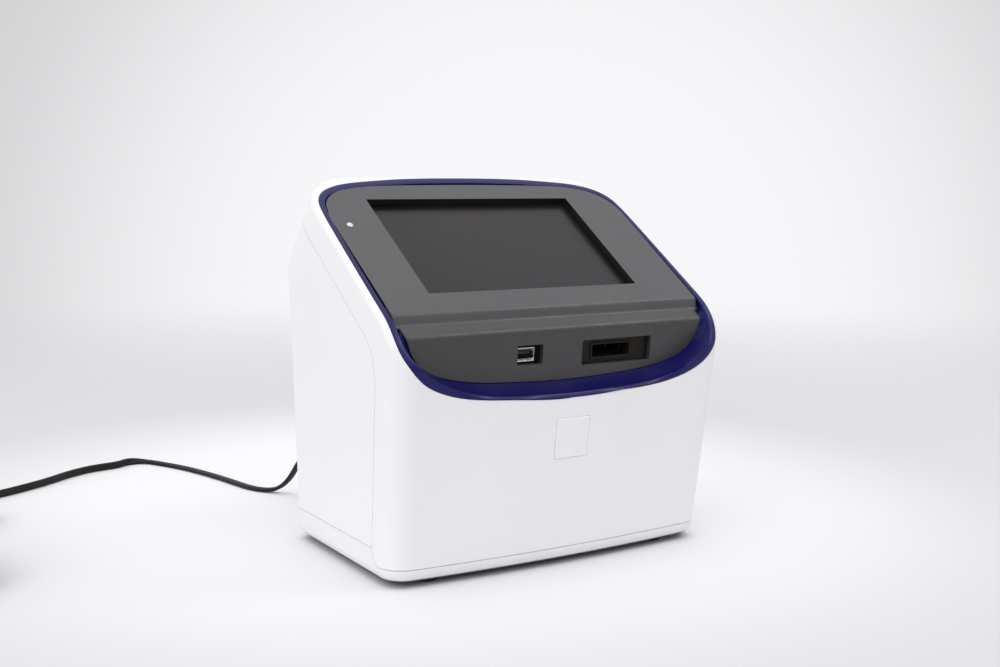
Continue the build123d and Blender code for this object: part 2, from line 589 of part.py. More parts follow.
# ---------------------------------------------------------------- chassis and boards
ch = rbox(-86, 86, -54, 64, CH_Z + 0.05, CH_Z + 1.5, 3)
for x, y in POSTS:
    ch = ch - cyl((x, y, 0), (0, 0, 1), 1.7, 30)
for i in range(5):
    ch = ch - rbox(-60 + i * 9, -56 + i * 9, -44, -14, 5, 20, 1.5)
ch = ch + box(-86, 86, 62.6, 64, CH_Z + 0.05, CH_Z + 9)
P["chassis_plate"] = ch
C1 = CH_Z + 1.5
BX0, BX1, BY0, BY1 = -80.0, -12.0, -44.0, 50.0
SO = [(BX0 + 5, BY0 + 5), (BX1 - 5, BY0 + 5), (BX0 + 5, BY1 - 5), (BX1 - 5, BY1 - 5)]
sos = []
for x, y in SO:
    s1 = extrude(Plane(origin=(x, y, C1 + 0.02)) * RegularPolygon(3.2, 6), amount=6.0)
    s1 = s1 + cyl((x, y, C1 + 6), (0, 0, 1), 1.4, 3.6)
    sos.append(s1.solid())
P["board_standoffs"] = Compound(sos)
PZ = C1 + 6.1
mb = rbox(BX0, BX1, BY0, BY1, PZ, PZ + 1.6, 2.5)
for x, y in SO:
    mb = mb - cyl((x, y, 0), (0, 0, 1), 1.55, 40)
T = PZ + 1.6
for a in ((-74, -60, -30, -16, 2.0), (-52, -38, -34, -26, 1.4), (-30, -20, -36, -20, 5.5), (-74, -66, 4, 34, 7.5),
          (-30, -18, 24, 38, 9.0), (-50, -40, 34, 42, 2.2), (-60, -52, 42, 47, 3.0), (-34, -22, -4, 10, 1.6)):
    mb = mb + box(a[0], a[1], a[2], a[3], T - 0.1, T + a[4])
mb = mb + box(-58, -40, -4, 14, T - 0.1, T + 2.0)
for x in (-33.0, -26.0):
    mb = mb + cyl((x, 14.5, T - 0.1), (0, 0, 1), 3.0, 11)
P["main_board"] = mb
hk = box(-60, -38, -6, 16, T + 2.1, T + 5)
for i in range(7):
    hk = hk + box(-60 + i * 3.35, -58.2 + i * 3.35, -6, 16, T + 4.9, T + 16)
P["cpu_heatsink"] = hk
sp = (cyl((-60, -24, T + 9), (0, 0, 1), 13, 5) + cyl((-60, -24, T + 4.5), (0, 0, 1), 8, 5)
      - Pos(-60, -24, T + 18.2) * Sphere(9.0))
P["speaker"] = sp

# ---------------------------------------------------------------- optics
OX, OY = 36.1, -30.0
STG0, STG1 = 112.0, 129.0
CHN0, CHN1 = 119.7, 124.7
st = box(2, 70, -52.5, 0, STG0, STG1)
st = fillet(st.edges().filter_by(Axis.Z), 2.0)
st = st - box(OX - 13.3, OX + 13.3, -60, -6.0, CHN0, CHN1)
st = chamfer(st.edges().filter_by(Axis.X).filter_by_position(Axis.Y, -52.6, -52.4).filter_by_position(Axis.Z, CHN0 - 0.1, CHN1 + 0.1), 1.5)
st = st - cyl((OX, OY, STG0 - 1), (0, 0, 1), 9.0, 20)
LX0 = OX + 13.3
st = st - box(LX0 - 0.1, LX0 + 8.6, -44, -12, CHN0 + 0.2, CHN1 - 0.2)
st = st - cyl((LX0 + 5.2, -16.0, STG0 - 1), (0, 0, 1), 1.5, 20)
RODS = [(8.0, -36.0), (62.0, -36.0)]
SC_X, SC_Y = 62.0, -10.0
for x, y in RODS:
    st = st - cyl((x, y, STG0 - 1), (0, 0, 1), 2.55, 7)
st = st - cyl((SC_X, SC_Y, STG0 - 1), (0, 0, 1), 2.06, 6)
P["stage_block"] = st

# slide clip, its pin and its coil spring
LPX, LPY = LX0 + 5.2, -16.0
lv = box(LX0 + 2.9, LX0 + 6.4, -41, -16, CHN0 + 0.5, CHN1 - 0.5)
lv = lv + cyl((LPX, LPY, CHN0 + 0.5), (0, 0, 1), 3.0, CHN1 - CHN0 - 1.0)
lv = lv + cyl((LX0 + 2.2, -36.5, CHN0 + 0.5), (0, 0, 1), 3.0, CHN1 - CHN0 - 1.0)
lv = lv - cyl((LPX, LPY, 100), (0, 0, 1), 1.55, 40)
P["slide_latch"] = lv
P["latch_pin"] = cyl((LPX, LPY, STG0 + 1.0), (0, 0, 1), 1.5, STG1 - STG0 - 1.6) + cyl((LPX, LPY, STG1 + 0.05), (0, 0, 1), 2.6, 1.0) + cyl((LPX, LPY, STG1 - 1.0), (0, 0, 1), 1.5, 1.2)
spr = Helix(pitch=0.62, height=1.75, radius=0.9, center=(0, 0, 0), direction=(0, 0, 1))
wire = sweep(Plane(origin=spr @ 0, z_dir=spr % 0) * Circle(0.18), path=spr)
P["latch_spring"] = Plane(origin=(LX0 + 6.55, -30.0, (CHN0 + CHN1) / 2), z_dir=(1, 0, 0)) * wire

# lamp above the stage
il = cyl((OX, OY, STG1 + 0.1), (0, 0, 1), 11.0, 11.5) + rbox(OX - 14, OX + 14, OY - 9, OY + 9, STG1 + 0.1, STG1 + 2.6, 2)
il = il - cyl((OX, OY, STG1 - 1), (0, 0, 1), 8.0, 10.5)
P["illuminator_housing"] = il
P["illuminator_led"] = box(OX - 3, OX + 3, OY - 3, OY + 3, STG1 + 8.2, STG1 + 9.4) + cyl((OX, OY, STG1 + 7.0), (0, 0, 1), 1.6, 1.3)
cl = cyl((OX, OY, STG1 + 1.2), (0, 0, 1), 7.9, 4.2)
P["condenser_lens"] = cl & (Pos(OX, OY, STG1 + 1.2 - 8.2) * Sphere(12.6))

# focus carriage with its rods, screw and motor
CZ0, CZ1 = 92.0, 100.0
FR_Z = C1 + 0.1
fc = rbox(1, 69, -43, -3, CZ0, CZ1, 2)
for x, y in RODS:
    fc = fc + cyl((x, y, CZ0 - 4), (0, 0, 1), 4.5, CZ1 - CZ0 + 8)
    fc = fc - cyl((x, y, 60), (0, 0, 1), 2.56, 60)
fc = fc + cyl((SC_X, SC_Y, CZ0 - 4), (0, 0, 1), 4.5, 8)
fc = fc - cyl((SC_X, SC_Y, 60), (0, 0, 1), 2.07, 60)
fc = fc - cyl((OX, OY, 60), (0, 0, 1), 10.05, 60)
P["focus_carriage"] = fc
P["guide_rods"] = Compound([cyl((x, y, FR_Z + 4.1), (0, 0, 1), 2.5, STG0 + 5.5 - FR_Z - 4.1).solid() for x, y in RODS])
MZ0, MZ1 = FR_Z + 18.0, FR_Z + 46.0
sc = cyl((SC_X, SC_Y, MZ1 - 1.0), (0, 0, 1), 2.0, STG0 + 4.5 - MZ1)
sc = sc + cyl((SC_X, SC_Y, MZ1 + 0.3), (0, 0, 1), 4.0, 7.0)
P["lead_screw"] = sc
mo = rbox(SC_X - 10, SC_X + 10, SC_Y - 10, SC_Y + 10, MZ0, MZ1, 2.0)
mo = mo - cyl((SC_X, SC_Y, MZ1 - 1.3), (0, 0, 1), 2.06, 3)
mo = chamfer(mo.faces().sort_by(Axis.Z)[0].edges(), 0.8)
P["focus_motor"] = mo

# frame that carries the stage, rods, mirror and tube lens
TZ = 66.0                       # height of the level part of the light path
fr = rbox(-2, 76, -50, 30, FR_Z, FR_Z + 4.0, 3)
fr = fr + box(-2, 76, 6.2, 12.0, FR_Z + 3.9, STG1 + 0.5)
fr = fr + box(2, 70, 0.1, 6.3, STG0, STG1 - 2)
fr = fr + box(SC_X - 10, SC_X + 10, SC_Y - 10, SC_Y + 10, FR_Z + 3.9, MZ0 - 0.1)
for x in (-2, 72):
    fr = fr + prism_x([(11.9, FR_Z + 3.9), (29.5, FR_Z + 3.9), (11.9, 100)], x, x + 4)
fr = fr - cyl((OX, 0, TZ), (0, 1, 0), 12.05, 20)
fr = fr - rbox(10, 62, 0, 20, 88, 106, 4, Axis.Y)
for x, y in RODS:
    fr = fr - cyl((x, y, FR_Z + 2), (0, 0, 1), 2.55, 5)
P["optics_frame"] = fr
m45 = Plane(origin=(OX, OY, TZ), x_dir=(1, 0, 0), z_dir=(0, sin(radians(45)), cos(radians(45))))
P["fold_mirror"] = m45 * (Pos(0, 0, -1.0) * Box(22, 28, 2.0))
mm = prism_x([(OY - 13, FR_Z + 4.1), (OY + 12, FR_Z + 4.1), (OY + 12, TZ - 15.0), (OY - 13, TZ + 10.0)], OX - 12, OX + 12)
mm = mm - prism_x([(OY - 8, FR_Z + 9), (OY + 7, FR_Z + 9), (OY + 7, TZ - 17), (OY - 8, TZ - 4)], OX - 8, OX + 8)
P["mirror_mount"] = mm
tb = cyl((OX, -12, TZ), (0, 1, 0), 12.0, 44) - cyl((OX, -13, TZ), (0, 1, 0), 10.0, 46)
tb = tb + ring((OX, 12.1, TZ), (0, 1, 0), 14.0, 11.9, 3.0)
P["tube_lens_barrel"] = tb
P["tube_lens"] = (cyl((OX, 4, TZ), (0, 1, 0), 9.95, 5)) & (Pos(OX, -12, TZ) * Sphere(21.0))
ob = (cyl((OX, OY, 86.0), (0, 0, 1), 10.0, 17.0) + cyl((OX, OY, 103.0), (0, 0, 1), 7.6, 6.0)
      + ring((OX, OY, CZ1 + 0.05), (0, 0, 1), 11.6, 9.9, 2.0))
ob = ob - cyl((OX, OY, 85), (0, 0, 1), 7.0, 20) - cyl((OX, OY, 104.9), (0, 0, 1), 5.0, 5)
P["objective_barrel"] = ob
P["objective_lens"] = cyl((OX, OY, 105.2), (0, 0, 1), 4.95, 3.0) & (Pos(OX, OY, 99.5) * Sphere(9.0))
cb = rbox(OX - 20, OX + 20, 52, 53.6, TZ - 18, TZ + 18, 2, Axis.Y)
cb = cb + box(OX - 14, OX + 2, 53.5, 56, TZ - 12, TZ + 4) + box(OX + 6, OX + 16, 53.5, 57, TZ + 2, TZ + 14)
cb = cb + box(OX - 20, OX - 14, 50, 52.1, TZ - 18, TZ - 12) + box(OX + 14, OX + 20, 50, 52.1, TZ - 18, TZ - 12)
P["camera_board"] = cb
P["camera_sensor"] = box(OX - 7, OX + 7, 49.6, 51.95, TZ - 7, TZ + 7) - box(OX - 5, OX + 5, 49.0, 50.2, TZ - 4.5, TZ + 4.5)
brk = (box(OX - 20, OX + 20, 46, 49.9, FR_Z, FR_Z + 3) + box(OX - 20, OX + 20, 48.0, 49.9, FR_Z + 2.9, TZ - 9)
       + box(OX - 20, OX - 13, 48.0, 49.9, TZ - 20, TZ - 11))
P["camera_bracket"] = brk

# ---------------------------------------------------------------- power lead
ROUTE = [(-52, 118, 48), (-52, 131, 48), (-55, 151, 36.5), (-58, 164.5, 19), (-60.5, 174.5, 6.8), (-65.5, 185, 2.1),
         (-73.5, 193.5, 2.1), (-78, 207, 2.1), (-80.3, 225, 2.1), (-83.5, 247, 2.1), (-88, 270, 2.1), (-94.5, 294, 2.1),
         (-102.5, 313, 2.1), (-108.5, 325.5, 2.1), (-117, 329.8, 2.1), (-126.5, 328, 2.1), (-133.5, 321.8, 2.1),
         (-145.5, 320, 2.1), (-159, 317, 2.1), (-176, 307.5, 2.1), (-194, 293, 2.1), (-215, 280, 2.1),
         (-238, 268.5, 2.1), (-262, 259.5, 2.1), (-284, 250, 2.1), (-304, 240.5, 2.1)]


def lead(points, d):
    """tube of diameter d along straight runs joined by the largest arcs that fit"""
    v = [Vector(*p) for p in points]
    runs = [(b - a).length for a, b in zip(v, v[1:])]
    radii = []
    for i in range(1, len(v) - 1):
        turn = (v[i] - v[i - 1]).get_angle(v[i + 1] - v[i])
        radii.append(0.45 * min(runs[i - 1], runs[i]) / tan(radians(turn / 2)))
    print("lead radii", [round(r, 1) for r in radii], "runs", [round(r, 1) for r in runs])
    path = FilletPolyline(*points, radius=radii)
    t = sweep(Plane(origin=v[0], z_dir=(v[1] - v[0])) * Circle(d / 2), path=path)
    print("lead volume", round(t.volume, 1), "section x length", round(pi * d * d / 4 * path.length, 1), "length", round(path.length, 1))
    return t


P["cord_lead"] = lead(ROUTE, LEAD_D)
ex, ey = ROUTE[-1][0], ROUTE[-1][1]
dx, dy = ROUTE[-1][0] - ROUTE[-2][0], ROUTE[-1][1] - ROUTE[-2][1]
dm = sqrt(dx * dx + dy * dy)
dx, dy = dx / dm, dy / dm
# the coil's outermost turn starts in line with the lead
COIL_R, COIL_RI, COIL_RO, COIL_H = 34.0, 22.5, 38.0, 11.5
CX, CY = ex - dy * COIL_R, ey + dx * COIL_R
print("coil centre", round(CX, 2), round(CY, 2), "lead direction", round(dx, 3), round(dy, 3))
cc = ring((CX, CY, 0), (0, 0, 1), COIL_RO, COIL_RI, COIL_H)
cc = fillet(cc.edges().filter_by(GeomType.CIRCLE), 2.6)
P["cord_coil"] = cc
P["coil_tie"] = (box(CX + COIL_RI - 1.6, CX + COIL_RO + 1.6, CY - 3.5, CY + 3.5, -0.0, COIL_H + 1.6)
                 - box(CX + COIL_RI - 0.4, CX + COIL_RO + 0.4, CY - 6, CY + 6, -2.0, COIL_H + 0.4))
# tail: from the coil into the adaptor
TAIL = [(CX - COIL_R, CY, 2.1), (CX - COIL_R + 0.5, CY - 15, 2.1), (CX - COIL_R + 4.5, CY - 30, 2.6), (CX - COIL_R + 11.0, CY - 43.0, 6.0),
        (CX - COIL_R + 14.0, CY - 53.5, 11.0), (CX - COIL_R + 14.5, CY - 64.0, 14.0)]
P["cord_tail"] = lead(TAIL, LEAD_D)
AX, AY, AZ = TAIL[-1]
adx, ady, adz = (TAIL[-1][i] - TAIL[-2][i] for i in range(3))
am_ = sqrt(adx ** 2 + ady ** 2 + adz ** 2)
adir = (adx / am_, ady / am_, adz / am_)
ry0 = AY - 26
P["adaptor_relief"] = extrude(Plane(origin=(AX, AY, AZ), x_dir=(1, 0, 0), z_dir=(0, -1, 0)) * Circle(3.2), amount=22, taper=-4)
bx = box(AX - 21, AX + 21, AY - 22 - 66, AY - 22.05, 0.0, 27.0)
bx = fillet(bx.edges().filter_by(Axis.Y), 5.0)
bx = fillet(bx.faces().sort_by(Axis.Y)[0].edges() + bx.faces().sort_by(Axis.Y)[-1].edges(), 2.0)
P["adaptor_body"] = bx
PY = AY - 22 - 66
P["adaptor_prongs"] = Compound([
    fillet(box(AX + s - 0.75, AX + s + 0.75, PY - 17, PY - 0.05, 10.3, 16.7).edges().filter_by(Axis.X), 1.0).solid()
    for s in (-6.35, 6.35)])

# plug in the inlet
pl = cyl((JACK_X, RY48 + 1.75, JACK_Z), (0, 1, 0), 5.4, 21.0)
pl = fillet(pl.edges().filter_by(GeomType.CIRCLE).sort_by(Axis.Y)[-1:], 1.5)
pl = pl + cyl((JACK_X, RY48 - 8.0, JACK_Z), (0, 1, 0), 2.75, 10.5)
pl = pl - cyl((JACK_X, RY48 - 9.0, JACK_Z), (0, 1, 0), 1.25, 9.5)
P["dc_plug"] = pl
rl0 = RY48 + 22.85
P["cord_relief"] = extrude(Plane(origin=(JACK_X, rl0, JACK_Z), x_dir=(1, 0, 0), z_dir=(0, 1, 0)) * Circle(4.0), amount=118 - rl0, taper=4)

# ---------------------------------------------------------------- write
on_lead = ("dc_plug", "cord_relief", "cord_lead", "cord_coil", "coil_tie", "cord_tail", "adaptor_relief",
           "adaptor_body", "adaptor_prongs")
bb = Compound(children=[copy.copy(v) for k, v in P.items() if k not in on_lead]).bounding_box()
print("instrument", bb)
for name, shape in P.items():
    shape = Pos(0, Y_SHIFT, 0) * shape
    export_step(shape, "parts/" + name + ".step")
print(len(P), "nodes")
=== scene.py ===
import json
import math

import bmesh
import bpy
import numpy as np
from mathutils import Matrix, Vector
from mathutils.bvhtree import BVHTree


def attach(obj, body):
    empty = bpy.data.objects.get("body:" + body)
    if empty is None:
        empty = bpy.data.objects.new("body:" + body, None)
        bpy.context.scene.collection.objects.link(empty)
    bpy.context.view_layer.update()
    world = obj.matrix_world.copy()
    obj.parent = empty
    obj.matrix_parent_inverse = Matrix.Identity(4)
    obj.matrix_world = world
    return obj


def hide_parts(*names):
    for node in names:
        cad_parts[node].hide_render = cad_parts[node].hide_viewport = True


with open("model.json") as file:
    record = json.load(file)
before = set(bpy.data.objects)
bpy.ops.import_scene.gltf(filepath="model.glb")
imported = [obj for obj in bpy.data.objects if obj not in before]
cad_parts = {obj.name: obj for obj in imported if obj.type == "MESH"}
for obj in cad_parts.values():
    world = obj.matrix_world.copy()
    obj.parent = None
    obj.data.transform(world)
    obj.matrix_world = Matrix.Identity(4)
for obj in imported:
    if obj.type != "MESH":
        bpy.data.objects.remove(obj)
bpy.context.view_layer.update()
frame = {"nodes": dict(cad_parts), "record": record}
NODES = frame["nodes"]
SLOT_OF = {s["node"]: s.get("material_slot") for s in frame["record"]["subparts"]}
scene = bpy.context.scene
scene.view_settings.view_transform = "Standard"
scene.view_settings.look = "None"
scene.view_settings.exposure = 0.0
scene.view_settings.gamma = 1.0

# ------------------------------------------------------------------ camera
AZ, PITCH, ROLL, FOCAL = math.radians(33.5), math.radians(6.6907), math.radians(0.3965), 1369.845
fwd = Vector((math.sin(AZ) * math.cos(PITCH), math.cos(AZ) * math.cos(PITCH), -math.sin(PITCH)))
right = Vector((math.cos(AZ), -math.sin(AZ), 0.0))
up = right.cross(fwd)
right2 = right * math.cos(ROLL) + up * math.sin(ROLL)
up2 = up * math.cos(ROLL) - right * math.sin(ROLL)
cam_data = bpy.data.cameras.new("camera")
cam_data.sensor_fit = "HORIZONTAL"
cam_data.sensor_width = 36.0
cam_data.lens = FOCAL / 1000.0 * 36.0
cam_data.clip_start, cam_data.clip_end = 0.02, 60.0
cam = bpy.data.objects.new("camera", cam_data)
bpy.context.collection.objects.link(cam)
cam.matrix_world = Matrix((
    (right2.x, up2.x, -fwd.x, -0.455616),
    (right2.y, up2.y, -fwd.y, -0.688684),
    (right2.z, up2.z, -fwd.z, 0.224447),
    (0, 0, 0, 1)))
scene.camera = cam

YS = -0.00115          # the drawing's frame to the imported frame


# ------------------------------------------------------------------ node helpers
class Tree:
    """a material's node tree with short calls"""

    def __init__(self, name):
        self.m = bpy.data.materials.new(name)
        self.m.use_nodes = True
        self.t = self.m.node_tree
        self.t.nodes.clear()
        self.out = self.add("ShaderNodeOutputMaterial")
        self.co = self.add("ShaderNodeTexCoord").outputs["Object"]

    def add(self, kind, **k):
        n = self.t.nodes.new(kind)
        for a, v in k.items():
            setattr(n, a, v)
        return n

    def put(self, socket, value):
        if isinstance(value, bpy.types.NodeSocket):
            self.t.links.new(value, socket)
        elif isinstance(value, bpy.types.Node):
            self.t.links.new(value.outputs[0], socket)
        else:
            socket.default_value = value

    def principled(self, **k):
        n = self.add("ShaderNodeBsdfPrincipled")
        for a, v in k.items():
            self.put(n.inputs[a.replace("_", " ")], v)
        self.t.links.new(n.outputs[0], self.out.inputs[0])
        return n

    def noise(self, scale, detail=2.0, rough=0.5, at=None, distort=0.0):
        n = self.add("ShaderNodeTexNoise")
        n.inputs["Scale"].default_value = scale
        n.inputs["Detail"].default_value = detail
        n.inputs["Roughness"].default_value = rough
        n.inputs["Distortion"].default_value = distort
        self.put(n.inputs["Vector"], at or self.co)
        return n.outputs["Fac"]

    def voronoi(self, scale, at=None, feature="F1"):
        n = self.add("ShaderNodeTexVoronoi", feature=feature)
        n.inputs["Scale"].default_value = scale
        self.put(n.inputs["Vector"], at or self.co)
        return n.outputs["Distance"]

    def stretch(self, x, y, z, move=(0, 0, 0)):
        n = self.add("ShaderNodeMapping")
        self.put(n.inputs["Vector"], self.co)
        n.inputs["Scale"].default_value = (x, y, z)
        n.inputs["Location"].default_value = move
        return n.outputs[0]

    def ramp(self, value, a, b, lo, hi):
        n = self.add("ShaderNodeMapRange", interpolation_type="SMOOTHSTEP")
        self.put(n.inputs["Value"], value)
        for i, v in enumerate((a, b, lo, hi)):
            n.inputs[i + 1].default_value = v
        return n.outputs[0]

    def colours(self, value, *stops):
        n = self.add("ShaderNodeValToRGB")
        self.put(n.inputs[0], value)
        e = n.color_ramp.elements
        while len(e) < len(stops):
            e.new(0.5)
        for x, (p, c) in zip(e, stops):
            x.position = p
            x.color = (*c, 1.0)
        return n.outputs[0]

    def mix(self, fac, a, b, mode="MIX"):
        n = self.add("ShaderNodeMix", data_type="RGBA", blend_type=mode)
        self.put(n.inputs[0], fac)
        self.put(n.inputs[6], (*a, 1.0) if isinstance(a, tuple) else a)
        self.put(n.inputs[7], (*b, 1.0) if isinstance(b, tuple) else b)
        return n.outputs[2]

    def math(self, op, a, b=0.0, c=0.0):
        n = self.add("ShaderNodeMath", operation=op)
        for i, v in enumerate((a, b, c)):
            self.put(n.inputs[i], v)
        return n.outputs[0]

    def bump(self, height, strength, distance, normal=None):
        n = self.add("ShaderNodeBump")
        n.inputs["Strength"].default_value = strength
        n.inputs["Distance"].default_value = distance
        self.put(n.inputs["Height"], height)
        if normal is not None:
            self.put(n.inputs["Normal"], normal)
        return n.outputs[0]

    def bevel(self, radius, samples=4):
        n = self.add("ShaderNodeBevel", samples=samples)
        n.inputs["Radius"].default_value = radius
        return n.outputs[0]

    def axes(self):
        n = self.add("ShaderNodeSeparateXYZ")
        self.put(n.inputs[0], self.co)
        return n.outputs

    def facing(self):
        """how far the surface faces up, -1 to 1, in the world"""
        g = self.add("ShaderNodeNewGeometry")
        n = self.add("ShaderNodeSeparateXYZ")
        self.put(n.inputs[0], g.outputs["Normal"])
        return n.outputs[2]


def plastic(name, colour, rough, grain=2600.0, depth=2.2e-5, strength=0.35, mottle=0.02, spec=0.5, edge=0.00022,
            dust=0.0, coat=0.0, rough_vary=0.07):
    """moulded plastic: spark-eroded grain, slow colour drift, faint dust on top"""
    t = Tree(name)
    slow = t.noise(22.0, 3.0, 0.55)
    fine = t.noise(900.0, 2.0, 0.5)
    c0 = tuple(v * (1 - mottle) for v in colour)
    c1 = tuple(min(1.0, v * (1 + mottle)) for v in colour)
    col = t.mix(t.ramp(slow, 0.3, 0.7, 0, 1), c0, c1)
    col = t.mix(t.ramp(fine, 0.35, 0.65, 0.0, 0.5 * mottle / 0.02), col, tuple(v * (1 - 0.012) for v in colour))
    if dust:
        specks = t.ramp(t.noise(420.0, 4.0, 0.7), 0.6, 0.74, 0.0, 1.0)
        top = t.ramp(t.facing(), 0.35, 0.9, 0.0, dust)
        col = t.mix(t.math("MULTIPLY", specks, top), col, (0.55, 0.54, 0.53))
    scuff = t.ramp(t.noise(70.0, 5.0, 0.65), 0.35, 0.75, -0.5 * rough_vary, rough_vary)
    r = t.math("ADD", rough, scuff)
    grain_a = t.noise(grain, 2.0, 0.55)
    grain_b = t.voronoi(grain * 0.55)
    h = t.math("ADD", grain_a, t.math("MULTIPLY", grain_b, 0.6))
    n = t.bump(h, strength, depth, t.bevel(edge) if edge else None)
    b = t.principled(Base_Color=col, Roughness=r, Normal=n)
    b.inputs["Specular IOR Level"].default_value = spec
    if coat:
        b.inputs["Coat Weight"].default_value = coat
        b.inputs["Coat Roughness"].default_value = 0.12
    return t.m


def metal(name, colour, rough, brush=None, depth=6e-6, blotch=0.06, edge=0.00015, metallic=1.0):
    t = Tree(name)
    wear = t.noise(60.0, 4.0, 0.6)
    col = t.mix(t.ramp(wear, 0.3, 0.75, 0, 1), tuple(v * (1 - blotch) for v in colour), tuple(min(1, v * (1 + blotch)) for v in colour))
    lines = t.noise(1.0, 3.0, 0.6, at=t.stretch(*(brush or (900.0, 900.0, 900.0))))
    r = t.math("ADD", rough, t.ramp(lines, 0.3, 0.7, -0.06, 0.10))
    n = t.bump(lines, 0.5, depth, t.bevel(edge))
    t.principled(Base_Color=col, Metallic=metallic, Roughness=r, Normal=n)
    return t.m


MAT = {}
MAT["housing_white"] = plastic("housing_white", (0.872, 0.862, 0.871), 0.40, grain=3000, depth=1.6e-5, mottle=0.008, dust=0.10, rough_vary=0.05)
MAT["base_white"] = plastic("base_white", (0.850, 0.843, 0.850), 0.46, grain=2600, depth=2.0e-5, mottle=0.010, dust=0.05)
MAT["ring_blue"] = plastic("ring_blue", (0.0060, 0.0048, 0.096), 0.33, grain=2600, depth=0.6e-5, strength=0.15, mottle=0.03, edge=0.0004,
                           rough_vary=0.02, spec=0.29)
# painted shade: the cove's faces get a darker, duller copy of the ring's blue, for the shade in the cove
MAT["ring_cove_painted_shade"] = plastic("ring_cove_painted_shade", (0.0042, 0.0035, 0.076), 0.34, grain=2600, depth=0.6e-5, strength=0.15, mottle=0.03, edge=0.0004,
                           rough_vary=0.02, spec=0.13)
MAT["black_plastic"] = plastic("black_plastic", (0.018, 0.018, 0.019), 0.46, grain=2200, depth=3e-5, mottle=0.12, dust=0.10)
MAT["port_dark"] = plastic("port_dark", (0.012, 0.0078, 0.0058), 0.48, grain=2400, depth=2.2e-5, mottle=0.10, spec=0.22)
MAT["foot_rubber"] = plastic("foot_rubber", (0.026, 0.026, 0.027), 0.78, grain=1800, depth=5e-5, mottle=0.15, spec=0.3)
MAT["cord_black"] = plastic("cord_black", (0.0065, 0.0065, 0.0068), 0.46, grain=1700, depth=2.5e-5, mottle=0.15, spec=0.26, edge=0, dust=0.03)
MAT["black_foam"] = plastic("black_foam", (0.010, 0.0095, 0.009), 0.9, grain=1200, depth=1.6e-4, mottle=0.2, spec=0.15, edge=0)
MAT["lens_clear"] = plastic("lens_clear", (0.70, 0.74, 0.84), 0.12, grain=1500, depth=0.5e-5, mottle=0.02, coat=0.6, edge=0)
MAT["led_emitter"] = plastic("led_emitter", (0.85, 0.78, 0.42), 0.25, mottle=0.04)
MAT["connector_steel"] = metal("connector_steel", (0.93, 0.93, 0.92), 0.26, depth=4e-6)
MAT["dark_steel"] = metal("dark_steel", (0.035, 0.030, 0.028), 0.5, brush=(250.0, 250.0, 3000.0))
MAT["steel"] = metal("steel", (0.58, 0.58, 0.59), 0.24, brush=(250.0, 250.0, 3000.0))
MAT["sheet_steel"] = metal("sheet_steel", (0.66, 0.67, 0.68), 0.36, brush=(120.0, 2600.0, 2600.0), blotch=0.12)
MAT["alu_machined"] = metal("alu_machined", (0.80, 0.80, 0.81), 0.30, brush=(2600.0, 160.0, 160.0))
MAT["alu_black"] = metal("alu_black", (0.030, 0.030, 0.032), 0.42, brush=(1400.0, 1400.0, 1400.0), metallic=0.6)
MAT["brass"] = metal("brass", (0.80, 0.62, 0.30), 0.26, brush=(300.0, 300.0, 2800.0))
MAT["mirror_face"] = metal("mirror_face", (0.93, 0.93, 0.94), 0.03, depth=5e-7, blotch=0.01)


def console_gray():
    """film-faced plastic: charcoal with a fine leather-like grain; black inside the screen's opening and at its edges;
    the lower face below the fold painted darker as shade
    """
    t = Tree("console_gray")
    slow = t.noise(18.0, 3.0, 0.5)
    col = t.mix(t.ramp(slow, 0.3, 0.7, 0, 1), (0.0640, 0.0638, 0.0672), (0.0708, 0.0702, 0.0730))
    fleck = t.ramp(t.noise(1900.0, 2.0, 0.6), 0.42, 0.62, 0.0, 1.0)
    col = t.mix(t.math("MULTIPLY", fleck, 0.30), col, (0.086, 0.085, 0.089))
    x, y, z = t.axes()
    # painted shade: below the fold the lower face is painted darker
    painted_shade_low = t.ramp(z, 0.1475, 0.1365, 0.0, 1.0)
    col = t.mix(t.math("MULTIPLY", painted_shade_low, 0.60), col, (0.0285, 0.0260, 0.0266))
    # height over the slope's plane, and place up the slope
    s_, c_ = math.sin(math.radians(34.37)), math.cos(math.radians(34.37))
    y0, z0 = -0.00166 + YS, 0.1833
    w = t.math("ADD", t.math("MULTIPLY", t.math("SUBTRACT", z, z0), c_), t.math("MULTIPLY", t.math("SUBTRACT", y, y0), -s_))
    v = t.math("ADD", t.math("MULTIPLY", t.math("SUBTRACT", z, z0), s_), t.math("MULTIPLY", t.math("SUBTRACT", y, y0), c_))
    under = t.ramp(w, 0.00235, 0.0021, 0.0, 1.0)
    upper = t.ramp(v, -0.0560, -0.0540, 0.0, 1.0)
    col = t.mix(t.math("MULTIPLY", under, upper), col, (0.008, 0.006, 0.006))
    h = t.math("ADD", t.noise(2300.0, 2.0, 0.6), t.math("MULTIPLY", t.voronoi(1500.0), 0.8))
    # the fold and the step are softly rounded, the cut-outs crisp
    soft = t.math("MULTIPLY", t.ramp(z, 0.1310, 0.1340, 0.0, 1.0), t.ramp(z, 0.1500, 0.1518, 1.0, 0.0))
    rounded = t.add("ShaderNodeBevel", samples=6)
    t.put(rounded.inputs["Radius"], t.math("ADD", 0.0003, t.math("MULTIPLY", soft, 0.0021)))
    n = t.bump(h, 0.45, 2.2e-5, rounded.outputs[0])
    r = t.math("ADD", 0.36, t.ramp(t.noise(90.0, 4.0, 0.6), 0.3, 0.7, -0.03, 0.05))
    t.principled(Base_Color=col, Roughness=r, Normal=n)
    return t.m


MAT["console_gray"] = console_gray()


